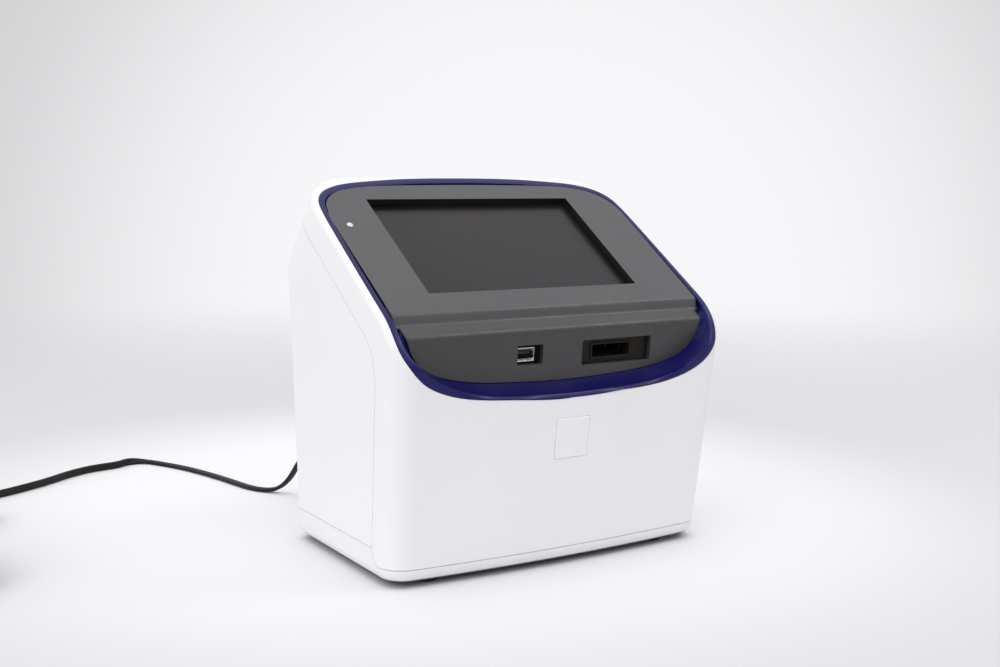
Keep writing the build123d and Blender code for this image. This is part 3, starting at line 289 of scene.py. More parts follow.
def tray_white():
    """the housing's white with a coarser grain; the underside and the last millimetre above the floor are painted dark
    as shade
    """
    t = Tree("base_white")
    slow = t.noise(22.0, 3.0, 0.55)
    col = t.mix(t.ramp(slow, 0.3, 0.7, 0, 1), (0.842, 0.836, 0.845), (0.862, 0.856, 0.863))
    # painted shade: the underside and its last millimetre above the floor are painted near black
    painted_shade_low = t.ramp(t.axes()[2], 0.0052, 0.0039, 0.0, 1.0)
    col = t.mix(painted_shade_low, col, (0.030, 0.024, 0.021))
    h = t.math("ADD", t.noise(2600.0, 2.0, 0.55), t.math("MULTIPLY", t.voronoi(1400.0), 0.6))
    t.principled(Base_Color=col, Roughness=t.ramp(t.noise(70.0, 5.0, 0.65), 0.35, 0.75, 0.42, 0.52),
                 Normal=t.bump(h, 0.35, 2.0e-5, t.bevel(0.00022)))
    return t.m


MAT["base_white"] = tray_white()


def screen_glass():
    """dark front glass with an anti-glare face: soft sheen, faint clouds; painted reflection: warm at the top, cooler
    below, darker at the left
    """
    t = Tree("screen_glass")
    x, y, z = t.axes()
    # painted reflection: warmer at the top, cooler below
    tint = t.ramp(z, 0.160, 0.208, 0.0, 1.0)
    col = t.mix(tint, (0.0070, 0.0068, 0.0092), (0.0115, 0.0080, 0.0062))
    # painted reflection: darker towards the left
    left = t.ramp(x, -0.072, -0.020, 1.0, 0.0)
    col = t.mix(t.math("MULTIPLY", left, 0.7), col, (0.0015, 0.0014, 0.0022))
    cloud = t.ramp(t.noise(26.0, 3.0, 0.5), 0.35, 0.7, 0.0, 1.0)
    col = t.mix(t.math("MULTIPLY", cloud, 0.25), col, (0.0115, 0.0100, 0.0105))
    r = t.ramp(t.noise(14.0, 2.0, 0.5), 0.3, 0.7, 0.27, 0.31)
    n = t.bump(t.noise(3200.0, 2.0, 0.5), 0.15, 1.0e-5)
    b = t.principled(Base_Color=col, Roughness=r, Normal=n)
    b.inputs["IOR"].default_value = 1.41
    return t.m


MAT["screen_glass"] = screen_glass()


def optic_glass():
    t = Tree("optic_glass")
    tint = t.ramp(t.noise(30.0, 2.0, 0.5), 0.3, 0.7, 0, 1)
    col = t.mix(tint, (0.86, 0.93, 0.92), (0.90, 0.90, 0.95))
    b = t.principled(Base_Color=col, Roughness=t.ramp(t.noise(400.0, 3.0, 0.5), 0.4, 0.7, 0.01, 0.04))
    b.inputs["Transmission Weight"].default_value = 0.9
    b.inputs["IOR"].default_value = 1.52
    return t.m


MAT["optic_glass"] = optic_glass()


def board_green():
    """solder mask with tracks and pads"""
    t = Tree("pcb_green")
    tracks = t.add("ShaderNodeTexBrick", offset=0.5, squash=1.0)
    t.put(tracks.inputs["Vector"], t.stretch(180.0, 180.0, 180.0))
    tracks.inputs["Color1"].default_value = (0.012, 0.10, 0.040, 1)
    tracks.inputs["Color2"].default_value = (0.016, 0.13, 0.050, 1)
    tracks.inputs["Mortar"].default_value = (0.022, 0.17, 0.07, 1)
    tracks.inputs["Mortar Size"].default_value = 0.06
    tracks.inputs["Scale"].default_value = 1.0
    pads = t.ramp(t.voronoi(420.0), 0.10, 0.14, 1.0, 0.0)
    col = t.mix(pads, tracks.outputs["Color"], (0.72, 0.70, 0.62))
    n = t.bump(tracks.outputs["Fac"], 0.4, 2e-5)
    t.principled(Base_Color=col, Roughness=t.ramp(t.noise(200.0), 0.3, 0.7, 0.28, 0.42), Normal=n)
    return t.m


MAT["pcb_green"] = board_green()


def badge():
    """white enamel under a clear dome: bare"""
    t = Tree("badge")
    slow = t.noise(160.0, 3.0, 0.5)
    col = t.mix(t.ramp(slow, 0.3, 0.7, 0, 1), (0.86, 0.86, 0.868), (0.89, 0.89, 0.896))
    n = t.bump(t.noise(240.0, 3.0, 0.5), 0.2, 2e-5, t.bevel(0.0004))
    b = t.principled(Base_Color=col, Roughness=0.16, Normal=n)
    b.inputs["Coat Weight"].default_value = 0.6
    b.inputs["Coat Roughness"].default_value = 0.06
    return t.m


MAT["badge"] = badge()

# painted shade: the latch, its spring and its pin get the dark steel, for the shade inside the slot
OWN = {"slide_latch": "dark_steel", "latch_spring": "dark_steel", "latch_pin": "dark_steel", "touch_glass": "screen_glass"}
for name, o in NODES.items():
    m = MAT[OWN.get(name, SLOT_OF[name])]
    if o.material_slots:
        for s in o.material_slots:
            s.material = m
    else:
        o.data.materials.append(m)


# ------------------------------------------------------------------ mesh helpers
def mesh_object(name, verts, faces, material, body="root", smooth=True, angle=None):
    me = bpy.data.meshes.new(name)
    me.from_pydata([tuple(v) for v in verts], [], faces)
    me.update()
    bm = bmesh.new()
    bm.from_mesh(me)
    bmesh.ops.recalc_face_normals(bm, faces=bm.faces)
    bm.to_mesh(me)
    bm.free()
    for p in me.polygons:
        p.use_smooth = smooth
    if angle is not None:
        me.set_sharp_from_angle(angle=math.radians(angle))
    o = bpy.data.objects.new(name, me)
    bpy.context.collection.objects.link(o)
    o.data.materials.append(MAT[material])
    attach(o, body)
    return o


def skin_rings(rings, close_start=True, close_end=True):
    """faces between rings of equal length, with fans closed by an n-gon"""
    n = len(rings[0])
    verts = [v for r in rings for v in r]
    faces = []
    for i in range(len(rings) - 1):
        a, b = i * n, (i + 1) * n
        for j in range(n):
            k = (j + 1) % n
            faces.append((a + j, a + k, b + k, b + j))
    if close_start:
        faces.append(tuple(range(n))[::-1])
    if close_end:
        faces.append(tuple(range((len(rings) - 1) * n, len(rings) * n)))
    return verts, faces


# ------------------------------------------------------------------ lead
LEAD_W, LEAD_T = 0.0054, 0.0026
# the lead's route, millimetres in the drawing's frame: flat at first, on edge after its half twist
ROUTE = [(-52, 118, 48), (-52, 131, 48), (-55, 151, 40.5), (-58, 164.5, 24.0), (-60.5, 174.5, 10.6), (-65.5, 185, 2.2),
         (-73.5, 193.5, 1.5), (-78, 207, 1.5), (-80.3, 225, 1.5), (-83.5, 247, 1.5), (-88, 270, 1.5), (-94.5, 294, 1.5),
         (-102.5, 313, 1.5), (-108.5, 325.5, 1.7), (-117, 329.8, 2.3), (-126.5, 328, 2.8), (-133.5, 321.8, 2.8),
         (-145.5, 320, 2.8), (-159, 317, 2.8), (-176, 307.5, 2.8), (-194, 293, 2.8), (-215, 280, 2.8),
         (-238, 268.5, 2.8), (-262, 259.5, 2.8), (-284, 250, 2.8), (-304, 240.5, 2.8)]
CX, CY = -289.41, 209.79
TAIL = [(CX - 34.0, CY - 1.0, 8.2), (CX - 33.5, CY - 15, 5.4), (CX - 29.5, CY - 30, 3.6), (CX - 23, CY - 43, 6.0),
        (CX - 20, CY - 53.5, 11.0), (CX - 19.5, CY - 64, 14.0)]


def coil_points():
    """the turns: in on the floor, up, and out again on top, a thickness apart, with hand-wound unevenness"""
    out = []
    start = math.atan2(240.5 - CY, -304 + 289.41)
    per = 16
    step = 2 * math.pi / per
    turns = 6.5 + (math.pi - start) / (2 * math.pi)
    n = int(round(turns * per))
    step = turns * 2 * math.pi / n
    k = 1.0 / math.cos(step / 2)
    for i in range(1, n):
        t = i / n * turns
        a = start + t * 2 * math.pi
        if t < 3.0:
            r, z = 34.0 - 2.8 * t, 2.85
        elif t < 3.6:
            u = (t - 3.0) / 0.6
            r, z = 25.6, 2.85 + 5.45 * u * u * (3 - 2 * u)
        else:
            r, z = 25.6 + (34.0 - 25.6) * (t - 3.6) / (turns - 3.6), 8.3
        r += 0.28 * math.sin(2.0 * a + 0.7 * t) + 0.18 * math.sin(5.1 * t + 1.0)
        away = math.atan2(math.sin(a), math.cos(a))
        z += 0.85 * math.exp(-(away / 0.34) ** 2) + (0.12 * math.sin(3.3 * a) if t > 3.6 else 0.0)
        out.append((CX + r * k * math.cos(a), CY + r * k * math.sin(a), z))
    return out


lead_pts = ROUTE + coil_points() + TAIL
crv = bpy.data.curves.new("lead_route", "CURVE")
crv.dimensions = "3D"
crv.resolution_u = 8
sp = crv.splines.new("NURBS")
sp.points.add(len(lead_pts) - 1)
for p, (x, y, z) in zip(sp.points, lead_pts):
    p.co = (x / 1000, y / 1000 + YS, z / 1000, 1.0)
sp.order_u = 3
sp.use_endpoint_u = True
route_object = bpy.data.objects.new("lead_route", crv)
line_mesh = bpy.data.meshes.new_from_object(route_object)
LINE = [v.co.copy() for v in line_mesh.vertices]
bpy.data.meshes.remove(line_mesh)
bpy.data.objects.remove(route_object)
bpy.data.curves.remove(crv)
keep = [LINE[0]]
for p in LINE[1:]:
    if (p - keep[-1]).length > 2e-4:
        keep.append(p)
LINE = keep


def flat_twin(w, t):
    """outline of a flat twin lead: two round cores side by side, joined by a web"""
    r = t / 2
    c = w / 2 - r
    pts = []
    for i in range(13):
        a = math.radians(-128 + i * 256 / 12)
        pts.append((c + r * math.cos(a), r * math.sin(a)))
    pts.append((0.0, r * 0.56))
    for i in range(13):
        a = math.radians(52 + i * 256 / 12)
        pts.append((-c + r * math.cos(a), r * math.sin(a)))
    pts.append((0.0, -r * 0.56))
    return pts


TWIST_AT = Vector((-118.5 / 1000, 329.0 / 1000 + YS, 0.0022))
twist_i = min(range(len(LINE)), key=lambda i: (LINE[i] - TWIST_AT).length)
along = [0.0]
for a, b in zip(LINE, LINE[1:]):
    along.append(along[-1] + (b - a).length)
outline = flat_twin(LEAD_W, LEAD_T)
rings = []
for i, p in enumerate(LINE):
    a, b = LINE[max(0, i - 1)], LINE[min(len(LINE) - 1, i + 1)]
    tan = (b - a).normalized()
    side = tan.cross(Vector((0, 0, 1))).normalized()
    nor = side.cross(tan).normalized()
    s = (along[i] - along[twist_i]) / 0.011
    u = min(1.0, max(0.0, s * 0.5 + 0.5))
    phi = math.pi / 2 * u * u * (3 - 2 * u)
    # the drop behind the instrument leans a little, as a heavy lead does
    phi += math.radians(14) * math.exp(-((along[i] - 0.045) / 0.03) ** 2)
    wv = side * math.cos(phi) + nor * math.sin(phi)
    tv = nor * math.cos(phi) - side * math.sin(phi)
    rings.append([p + wv * x + tv * y for x, y in outline])
verts, faces = skin_rings(rings)
lead = mesh_object("power_lead", verts, faces, "cord_black")
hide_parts("cord_lead", "cord_coil", "cord_tail")


# ------------------------------------------------------------------ pieces on the lead
def lathe(name, origin, axis, stations, material, seg=48, flat=None, rib=None):
    """rings round axis. stations: (distance, half width, half height) in mm. rib(d, angle) scales a ring"""
    d = Vector(axis).normalized()
    h = Vector((0, 0, 1)) if abs(d.z) < 0.9 else Vector((1, 0, 0))
    side = d.cross(h).normalized()
    upv = side.cross(d).normalized()
    rings = []
    for s, rw, rh in stations:
        ring = []
        for j in range(seg):
            a = 2 * math.pi * j / seg
            k = rib(s, a) if rib else 1.0
            x, y = rw * k * math.cos(a), rh * k * math.sin(a)
            ring.append(Vector(origin) + d * (s / 1000) + side * (x / 1000) + upv * (y / 1000))
        rings.append(ring)
    v, f = skin_rings(rings)
    return mesh_object(name, v, f, material, angle=38)


JX, JZ, JY = -0.052, 0.048, 0.07769 + YS          # the plug's shoulder, at the inlet
# plug: collar, waisted grip with ribs, shoulder
plug_st = [(0.0, 4.7, 4.7), (0.0, 5.2, 5.2), (0.25, 5.4, 5.4), (2.2, 5.4, 5.4), (2.45, 5.15, 5.15), (2.7, 4.9, 4.9),
           (3.1, 4.9, 4.9), (3.35, 5.15, 5.15), (3.6, 5.35, 5.35)]
for i in range(1, 12):
    s = 3.6 + i * 1.15
    w = 5.35 - 0.30 * math.sin(math.pi * i / 12)
    plug_st.append((s, w, w))
plug_st += [(18.0, 5.3, 5.3), (19.2, 5.05, 5.05), (20.2, 4.6, 4.6), (20.9, 4.1, 4.1), (21.05, 3.9, 3.9), (21.05, 2.0, 2.0)]


def grip(s, a):
    if 4.2 < s < 17.0:
        return 1.0 - 0.050 * max(0.0, math.cos(10 * a)) ** 0.5
    return 1.0


plug = lathe("dc_plug_grip", (JX, JY, JZ), (0, 1, 0), plug_st, "cord_black", seg=80, rib=grip)
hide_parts("dc_plug")
barrel = lathe("dc_plug_barrel", (JX, JY, JZ), (0, -1, 0),
               [(-0.4, 1.3, 1.3), (-0.4, 2.75, 2.75), (9.3, 2.75, 2.75), (9.6, 2.55, 2.55), (9.6, 1.4, 1.4), (2.0, 1.3, 1.3)],
               "connector_steel", seg=40)


def relief_stations(length, r0, r1w, r1h, slots):
    """taper from round to the lead's flat section, with moulded slots"""
    st = []
    n = slots * 8
    for i in range(n + 1):
        u = i / n
        s = length * u
        w = r0 + (r1w - r0) * u
        h = r0 + (r1h - r0) * u
        ph = (u * slots) % 1.0
        cut = 0.0
        if 0.06 < u < 0.94 and 0.28 < ph < 0.72:
            cut = 0.42 * (1.0 - 0.35 * u)
        st.append((s, w - cut, h - cut))
    st = [(0.0, r0 * 0.6, r0 * 0.6)] + st + [(length, r1w * 0.8, r1h * 0.8)]
    return st


relief = lathe("lead_relief", (JX, JY + 0.0211, JZ), (0, 1, 0), relief_stations(19.3, 4.0, 3.15, 1.9, 6), "cord_black", seg=40)
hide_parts("cord_relief")
AX, AY, AZ_ = (CX - 19.5) / 1000, (CY - 64) / 1000 + YS, 0.014
relief2 = lathe("adaptor_lead_relief", (AX, AY - 0.0220, AZ_), (0, 1, 0), relief_stations(22.0, 4.72, 2.0, 3.2, 7), "cord_black", seg=40)
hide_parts("adaptor_relief")


def adaptor():
    """wall adaptor: rounded block, a parting groove round it"""
    w, h, length = 21.0, 13.5, 66.0
    rad = 5.0

    def section(inset, groove):
        pts = []
        hw, hh, r = w - inset, h - inset, max(0.8, rad - inset)
        for cx, cy, a0 in ((1, 1, 0), (-1, 1, 90), (-1, -1, 180), (1, -1, 270)):
            if (cx, cy) == (1, 1):
                pts += [(hw, -1.0), (hw, -0.28), (hw - groove, -0.16), (hw - groove, 0.16), (hw, 0.28), (hw, 1.0)]
            if (cx, cy) == (-1, -1):
                pts += [(-hw, 1.0), (-hw, 0.28), (-hw + groove, 0.16), (-hw + groove, -0.16), (-hw, -0.28), (-hw, -1.0)]
            for i in range(9):
                a = math.radians(a0 + i * 90 / 8)
                pts.append((cx * (hw - r) + r * math.cos(a), cy * (hh - r) + r * math.sin(a)))
        return pts

    st = []
    for i in range(7):
        a = math.pi / 2 * i / 6
        st.append((2.2 * (1 - math.sin(a)), 2.2 * (1 - math.cos(a))))
    ends = [(0.0, 2.2 + 3.0)] + [(s, 2.2 - c) for s, c in [(2.2 * (1 - math.cos(math.pi / 2 * i / 6)), 2.2 * math.sin(math.pi / 2 * i / 6)) for i in range(7)]]
    rows = ends + [(4.0, 0.0), (30.0, 0.0), (36.0, 0.0), (62.0, 0.0)] + [(length - s, i) for s, i in ends[::-1]]
    rings = []
    for s, inset in rows:
        rings.append([Vector((AX + x / 1000, AY - 0.02205 - s / 1000, 0.0135 + z / 1000)) for x, z in section(inset, 0.45)])
    v, f = skin_rings(rings)
    return mesh_object("wall_adaptor", v, f, "black_plastic", angle=32)


adaptor_piece = adaptor()
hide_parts("adaptor_body")


def strap():
    """hook-and-loop strap round the coil's bundle"""
    x0, x1 = CX + 21.4, CX + 39.2
    z0, z1 = 0.05, 12.7
    t = 0.75
    cx, cz = (x0 + x1) / 2, (z0 + z1) / 2
    hw, hh = (x1 - x0) / 2, (z1 - z0) / 2

    def loop(off):
        pts = []
        r = 3.2 - off
        for sx, sz, a0 in ((1, 1, 0), (-1, 1, 90), (-1, -1, 180), (1, -1, 270)):
            for i in range(7):
                a = math.radians(a0 + i * 15)
                pts.append((cx + sx * (hw - off - r) + r * math.cos(a), cz + sz * (hh - off - r) + r * math.sin(a)))
        return pts

    outer, inner = loop(0.0), loop(t)
    verts, faces = [], []
    n = len(outer)
    ys = [(-3.5, 0.25), (-3.3, 0.0), (3.3, 0.0), (3.5, 0.25)]
    for y, chop in ys:
        for (ox, oz), (ix, iz) in zip(outer, inner):
            k = chop / t
            verts.append(Vector(((ox + (ix - ox) * k) / 1000, (CY + y) / 1000 + YS, (oz + (iz - oz) * k) / 1000)))
            verts.append(Vector(((ix + (ox - ix) * k) / 1000, (CY + y) / 1000 + YS, (iz + (oz - iz) * k) / 1000)))
    m = 2 * n
    for row in range(len(ys) - 1):
        for j in range(n):
            k = (j + 1) % n
            a, b = row * m + 2 * j, row * m + 2 * k
            faces.append((a, b, b + m, a + m))
            faces.append((a + 1, a + 1 + m, b + 1 + m, b + 1))
    for row in (0, len(ys) - 1):
        for j in range(n):
            k = (j + 1) % n
            a, b = row * m + 2 * j, row * m + 2 * k
            faces.append((a, a + 1, b + 1, b))
    return mesh_object("coil_strap", verts, faces, "cord_black", angle=40)


strap_piece = strap()
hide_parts("coil_tie")



# ------------------------------------------------------------------ trim ring
# outline of the ring in its own plane (x, up), the lip's width, and the line where its cove ends on the console
RING_ROWS = [(0, 48.2, 2.9, 0, 124.4), (40, 49.65, 2.9, 40, 125.6), (73.3, 53.0, 3.2, 70, 128.5), (89.6, 57.4, 3.7, 84.5, 132.3),
             (97.4, 61.2, 4.0, 90.4, 135.2), (103.2, 66.2, 4.2, 94.6, 138.4), (107.2, 72.3, 4.2, 98.4, 142.8),
             (109.6, 79.2, 4.1, 101.2, 148.0), (110.6, 87.0, 3.9, 103.1, 153.0), (110.7, 97.0, 3.6, None, None),
             (110.4, 116.0, 3.3, None, None), (109.9, 140.0, 3.1, None, None), (109.3, 163.0, 3.1, None, None),
             (108.8, 177.0, 3.2, None, None), (108.0, 187.5, 3.4, None, None), (106.2, 195.3, 3.7, None, None),
             (101.2, 202.2, 4.2, None, None), (94.0, 206.7, 4.6, None, None), (85.0, 209.7, 4.8, None, None),
             (67.0, 212.5, 4.8, None, None), (45.0, 214.6, 4.8, None, None), (0, 215.8, 4.7, None, None)]


def trim_ring():
    ca, sa = math.cos(math.radians(30)), math.sin(math.radians(30))
    cb, sb = math.cos(math.radians(25)), math.sin(math.radians(25))
    face = [(100.0, -62.64), (137.6, -65.2), (143.2, -57.2), (149.2, -55.7), (190.0, 3.9)]
    mesh = NODES["trim_ring"].data
    cad = BVHTree.FromPolygons([v.co for v in mesh.vertices], [tuple(p.vertices) for p in mesh.polygons])

    def console_y(z):
        for (z0, y0), (z1, y1) in zip(face, face[1:]):
            if z <= z1:
                return y0 + (y1 - y0) * (z - z0) / (z1 - z0)
        return face[-1][1]

    def surface(x, y):
        """where a ray along the ring's axis meets it, and the normal there"""
        o = Vector((-abs(x), y * 0.5 - 200 * ca, y * ca + 200 * sa)) / 1000 + Vector((0, YS, 0))
        place, n, _, _ = cad.ray_cast(o, Vector((0, ca, -sa)), 0.5)
        if not place:
            return None
        if x > 0:          # the two sides are alike
            place, n = Vector((-place.x, place.y, place.z)), Vector((-n.x, n.y, n.z))
        return place, n

    def cove_end(x, y):
        lo, hi = -40.0, 40.0
        for _ in range(40):
            t = (lo + hi) / 2
            yy, zz = -sb * y - cb * t, cb * y - sb * t
            if yy < console_y(zz):
                hi = t
            else:
                lo = t
        t = (lo + hi) / 2 - 1.3
        return Vector((x, -sb * y - cb * t, cb * y - sb * t)) / 1000 + Vector((0, YS, 0))

    pts = [(x, y) for x, y, *_ in RING_ROWS]
    chord = [0.0]
    for (a, b), (c, d) in zip(pts, pts[1:]):
        chord.append(chord[-1] + math.hypot(c - a, d - b))
    # the whole loop, mirrored, so that the curve is smooth at both middles
    half = list(zip(chord, RING_ROWS))
    total = 2 * chord[-1]
    loop = half + [(total - s, (-r[0], *r[1:3], None if r[3] is None else -r[3], r[4])) for s, r in half[-2:0:-1]]
    n = len(loop)

    def value(k, i):
        return loop[i % n][1][k]

    def at(k, i, u):
        """cubic through the loop's values, with tangents from the spacing"""
        s0, s1, s2, s3 = [loop[(i + d) % n][0] + (total if i + d >= n else 0) - (total if i + d < 0 else 0) for d in (-1, 0, 1, 2)]
        p0, p1, p2, p3 = [value(k, i + d) for d in (-1, 0, 1, 2)]
        h = s2 - s1
        m1 = ((p2 - p1) / h * (s1 - s0) + (p1 - p0) / (s1 - s0) * h) / (s2 - s0)
        m2 = ((p3 - p2) / (s3 - s2) * h + (p2 - p1) / h * (s3 - s2)) / (s3 - s1)
        a, b = u * u, u * u * u
        return (2 * b - 3 * a + 1) * p1 + (b - 2 * a + u) * h * m1 + (-2 * b + 3 * a) * p2 + (b - a) * h * m2

    def lip_profile(width):
        """(inset from the outline, height over the surface)"""
        w = width
        return [(0.0, -2.4), (0.0, -0.12), (0.12, 0.02), (0.45, 0.11), (1.0, 0.14), (w * 0.55, 0.14), (w - 0.95, 0.13), (w - 0.5, 0.05),
                (w - 0.18, -0.14), (w, -0.45)]

    def true_edge(x, y, nx, ny):
        """how far inside the outline the drawn ring's face begins"""
        lo, hi = -0.9, 1.3
        if not surface(x + nx * hi, y + ny * hi):
            return 0.0
        for _ in range(11):
            mid = (lo + hi) / 2
            if surface(x + nx * mid, y + ny * mid):
                hi = mid
            else:
                lo = mid
        return hi

    def station(i, u):
        x, y = at(0, i, u), at(1, i, u)
        e = 1e-3
        tx, ty = at(0, i, u + e) - at(0, i, u - e), at(1, i, u + e) - at(1, i, u - e)
        m = math.hypot(tx, ty)
        return x, y, -ty / m, tx / m          # inwards, the loop runs anticlockwise

    places = []
    for i in range(n):
        per = max(3, int(round((loop[(i + 1) % n][0] - loop[i][0]) % total / 3.0)))
        places += [(i, j / per) for j in range(per)]
    def settle(row, reach, spread, limit):
        """drop stray readings along the loop, then even out what is left"""
        k = len(row)
        good = [v for v in row if v is not None]
        filled = []
        for a in range(k):
            near = sorted(v for v in (row[(a + d) % k] for d in range(-reach, reach + 1)) if v is not None) or good
            mid = near[len(near) // 2]
            filled.append(mid if row[a] is None or abs(row[a] - mid) > limit else row[a])
        weights = [(d, math.exp(-(d / spread) ** 2)) for d in range(-3, 4)]
        whole = sum(w for _, w in weights)
        return [sum(w * filled[(a + d) % k] for d, w in weights) / whole for a in range(k)]

    inset = settle([true_edge(*station(i, u)) for i, u in places], 6, 2.0, 0.15)

    spots = []
    for (i, u), start in zip(places, inset):
        x, y, nx, ny = station(i, u)
        spots.append((x + nx * start, y + ny * start, nx, ny, at(2, i, u) - start))
    # the ring's face: its depth along the axis, and its normal, at two insets all round the loop
    D0, D1 = 0.40, 1.50
    table = []
    for f in (D0, D1):
        depth, tilt = [], []
        for x, y, nx, ny, width in spots:
            px, py = x + nx * f, y + ny * f
            got = surface(px, py)
            if got:
                flat = Vector((px, py * 0.5, py * ca)) / 1000 + Vector((0, YS, 0))
                depth.append((got[0] - flat).dot(Vector((0, ca, -sa))))
                tilt.append(got[1])
            else:
                depth.append(None)
                tilt.append(None)
        depth = settle(depth, 4, 1.0, 0.0004)
        parts = [settle([None if t is None else t[c] for t in tilt], 4, 1.6, 0.12) for c in range(3)]
        table.append((depth, [Vector(v).normalized() for v in zip(*parts)]))

    def face_at(k, d):
        """point on the ring's face at inset d of spot k, and the normal there"""
        x, y, nx, ny, width = spots[k]
        (a, na), (b, nb) = table
        f = (d - D0) / (D1 - D0)
        t = a[k] + (b[k] - a[k]) * f
        px, py = x + nx * d, y + ny * d
        nor = na[k].lerp(nb[k], min(1.0, max(0.0, f))).normalized()
        return Vector((px, py * 0.5, py * ca)) / 1000 + Vector((0, YS, 0)) + Vector((0, ca, -sa)) * t, nor

    rings = []
    for spot, (i, u) in enumerate(places):
        ring = []
        for d, hgt in lip_profile(spots[spot][4]):
            base, nor = face_at(spot, d)
            ring.append(base + nor * (hgt / 1000))
        edge = ring[-1]
        straight = edge - nor * 0.0026
        a3, b3 = value(3, i), value(3, i + 1)
        if a3 is not None and b3 is not None:
            p3 = [value(3, i + d) for d in (-1, 0, 1, 2)]
            p4 = [value(4, i + d) for d in (-1, 0, 1, 2)]
            cx = a3 + (b3 - a3) * u if None in p3 else at(3, i, u)
            cy = value(4, i) + (value(4, i + 1) - value(4, i)) * u if None in p4 else at(4, i, u)
            end = cove_end(cx, cy)
        elif a3 is not None or b3 is not None:
            k = u if a3 is not None else 1 - u
            src = i if a3 is not None else i + 1
            end = cove_end(value(3, src), value(4, src)).lerp(straight, k * k * (3 - 2 * k))
        else:
            end = straight
        for f, sag in ((0.16, 0.25), (0.38, 0.55), (0.62, 0.6), (0.85, 0.3)):
            ring.append(edge.lerp(end, f) - nor * (sag * min(1.0, (end - edge).length / 0.010) / 1000))
        ring.append(end)
        ring.append(end + Vector((0, 0.0030, -0.0004)) if end is not straight else end - nor * 0.0012)
        rings.append(ring)
    m = len(rings[0])
    verts = [v for r in rings for v in r]
    faces = []
    k = len(rings)
    for i in range(k):
        a, b = i * m, ((i + 1) % k) * m
        for j in range(m):
            c = (j + 1) % m
            faces.append((a + j, b + j, b + c, a + c))
    o = mesh_object("ring_trim", verts, faces, "ring_blue", angle=70)
    # painted shade: the cove's faces, inside the lip, take the darker copy of the blue
    o.data.materials.append(MAT["ring_cove_painted_shade"])
    for p in o.data.polygons:
        inner = min(v % m for v in p.vertices)
        if inner >= 9 and max(v % m for v in p.vertices) - inner == 1:
            p.material_index = 1
    return o


ring_piece = trim_ring()
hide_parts("trim_ring")


# ------------------------------------------------------------------ indicator
def bead():
    """domed light pipe over its hole in the console"""
    u, v, w = -96.5, 16.1, 2.45
    s, c = math.sin(math.radians(34.37)), math.cos(math.radians(34.37))
    at = Vector((u / 1000, (-1.66 + v * c - w * s) / 1000 + YS, (183.3 + v * s + w * c) / 1000))
    st = [(-1.6, 1.25, 1.25), (-0.15, 1.25, 1.25), (-0.15, 1.9, 1.9), (0.05, 1.9, 1.9)]
    for k in range(1, 9):
        a = math.pi / 2 * k / 9
        st.append((0.05 + 0.95 * math.sin(a), 1.9 * math.cos(a), 1.9 * math.cos(a)))
    return lathe("status_bead", at, (0, -s, c), st, "lens_clear", seg=40)


bead_piece = bead()
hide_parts("status_lens")


# ------------------------------------------------------------------ stage
def floor_piece():
    n, rings_at = 96, [0.0, 0.15, 0.3, 0.5, 0.8, 1.2, 1.8, 2.6, 3.6, 5.0, 8.0]
    verts, faces = [(0, 0, 0)], []
    for r in rings_at[1:]:
        for j in range(n):
            a = 2 * math.pi * j / n
            verts.append((r * math.cos(a), r * math.sin(a), 0))
    for j in range(n):
        faces.append((0, 1 + j, 1 + (j + 1) % n))
    for i in range(len(rings_at) - 2):
        a, b = 1 + i * n, 1 + (i + 1) * n
        for j in range(n):
            k = (j + 1) % n
            faces.append((a + j, b + j, b + k, a + k))
    me = bpy.data.meshes.new("floor")
    me.from_pydata(verts, [], faces)
    me.update()
    o = bpy.data.objects.new("floor", me)
    bpy.context.collection.objects.link(o)
    t = Tree("floor_paper")
    x, y, z = t.axes()
    r = t.math("SQRT", t.math("ADD", t.math("MULTIPLY", x, x), t.math("MULTIPLY", y, y)))
    slow = t.noise(3.0, 3.0, 0.5)
    col = t.mix(t.ramp(slow, 0.3, 0.7, 0, 1), (0.831, 0.824, 0.842), (0.843, 0.836, 0.854))
    # painted pool of light: the floor is painted darker away from a spot behind the instrument
    x2, y2 = t.math("SUBTRACT", x, 0.02), t.math("SUBTRACT", y, 0.115)
    away = t.math("SQRT", t.math("ADD", t.math("MULTIPLY", x2, x2), t.math("MULTIPLY", y2, y2)))
    col = t.mix(t.ramp(away, 0.19, 0.44, 0.0, 1.0), col, (0.645, 0.641, 0.656))
    b = t.add("ShaderNodeBsdfPrincipled")
    t.put(b.inputs["Base Color"], col)
    b.inputs["Roughness"].default_value = 0.75
    b.inputs["Specular IOR Level"].default_value = 0.15
    clear = t.add("ShaderNodeBsdfTransparent")
    mixer = t.add("ShaderNodeMixShader")
    t.put(mixer.inputs[0], t.ramp(r, 0.42, 1.7, 0.0, 1.0))
    t.t.links.new(b.outputs[0], mixer.inputs[1])
    t.t.links.new(clear.outputs[0], mixer.inputs[2])
    t.t.links.new(mixer.outputs[0], t.out.inputs[0])
    me.materials.append(t.m)
    return o


floor_piece()

# ------------------------------------------------------------------ light
world = bpy.data.worlds.new("studio")
scene.world = world
world.use_nodes = True
wt = world.node_tree
wt.nodes.clear()


def wadd(kind, **k):
    n = wt.nodes.new(kind)
    for a, v in k.items():
        setattr(n, a, v)
    return n


def wdot(direction):
    d = Vector(direction).normalized()
    n = wadd("ShaderNodeVectorMath", operation="DOT_PRODUCT")
    wt.links.new(w_co.outputs["Generated"], n.inputs[0])
    n.inputs[1].default_value = d
    return n.outputs["Value"]


def wramp(v, a, b, lo, hi):
    n = wadd("ShaderNodeMapRange", interpolation_type="SMOOTHSTEP")
    wt.links.new(v, n.inputs["Value"])
    for i, x in enumerate((a, b, lo, hi)):
        n.inputs[i + 1].default_value = x
    return n.outputs[0]


def wmath(op, a, b):
    n = wadd("ShaderNodeMath", operation=op)
    for i, v in enumerate((a, b)):
        if isinstance(v, (int, float)):
            n.inputs[i].default_value = v
        else:
            wt.links.new(v, n.inputs[i])
    return n.outputs[0]


w_co = wadd("ShaderNodeTexCoord")
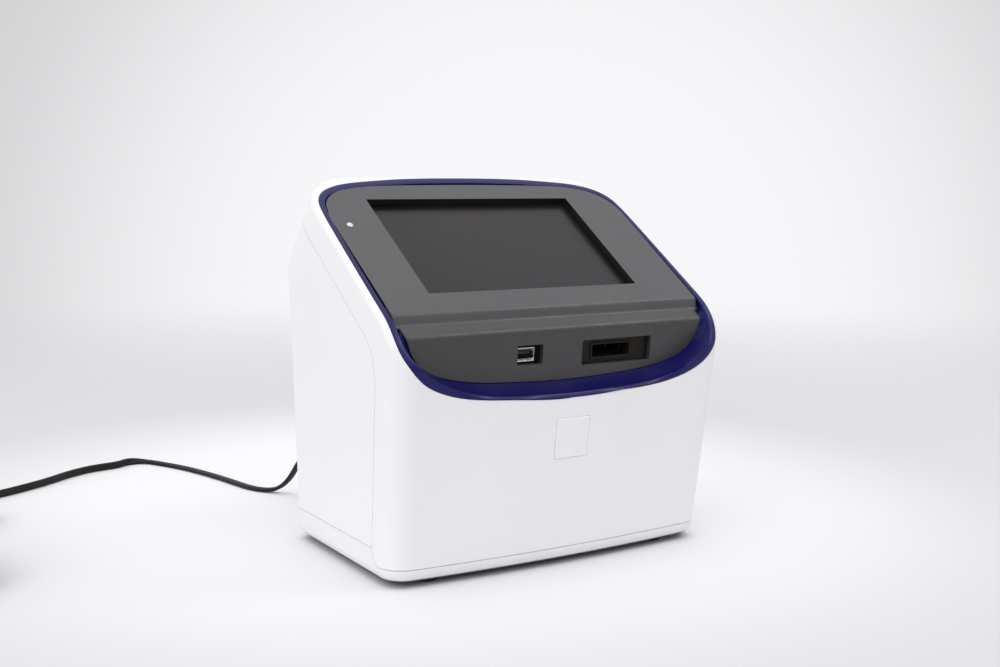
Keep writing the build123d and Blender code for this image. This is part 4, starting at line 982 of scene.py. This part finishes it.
# soft room: bright overhead and at the left, darker where the camera stands
light = wmath("ADD", 0.62, wramp(wdot((0.1, 0.1, 1.0)), 0.0, 0.9, 0.0, 0.28))
light = wmath("ADD", light, wramp(wdot((-1.0, -0.25, 0.25)), 0.2, 0.95, 0.0, 0.36))
light = wmath("ADD", light, wramp(wdot((0.35, 1.0, 0.15)), 0.1, 0.95, 0.0, 0.16))
light = wmath("SUBTRACT", light, wramp(wdot((0.25, -1.0, 0.05)), 0.55, 0.98, 0.0, 0.10))
lit = wadd("ShaderNodeBackground")
lit.inputs["Color"].default_value = (0.985, 0.985, 1.0, 1.0)
wt.links.new(light, lit.inputs["Strength"])
# painted pool of light: the backdrop the camera sees is brighter round the middle of the view
seen_value = wmath("ADD", 0.665, wramp(wdot(fwd + up * 0.02 + right * 0.03), 0.905, 0.992, 0.0, 0.28))
seen = wadd("ShaderNodeBackground")
seen.inputs["Color"].default_value = (0.985, 0.98, 1.0, 1.0)
wt.links.new(seen_value, seen.inputs["Strength"])
path = wadd("ShaderNodeLightPath")
pick = wadd("ShaderNodeMixShader")
wout = wadd("ShaderNodeOutputWorld")
wt.links.new(path.outputs["Is Camera Ray"], pick.inputs[0])
wt.links.new(lit.outputs[0], pick.inputs[1])
wt.links.new(seen.outputs[0], pick.inputs[2])
wt.links.new(pick.outputs[0], wout.inputs[0])


def softbox(name, at, aim, size, power, colour=(1, 1, 1)):
    l = bpy.data.lights.new(name, "AREA")
    l.shape = "RECTANGLE"
    l.size, l.size_y = size
    l.energy = power
    l.color = colour
    o = bpy.data.objects.new(name, l)
    bpy.context.collection.objects.link(o)
    o.location = at
    o.rotation_euler = (Vector(aim) - Vector(at)).to_track_quat("-Z", "Y").to_euler()
    return o


softbox("key_overhead", (-0.25, 0.15, 1.9), (0, 0, 0.1), (1.8, 1.8), 6.0)
softbox("key_left", (-1.6, -0.75, 0.9), (0, 0, 0.1), (1.2, 1.2), 4.7)
softbox("fill_right", (0.85, -0.62, 1.25), (0, -0.05, 0.13), (0.55, 0.35), 3.2)
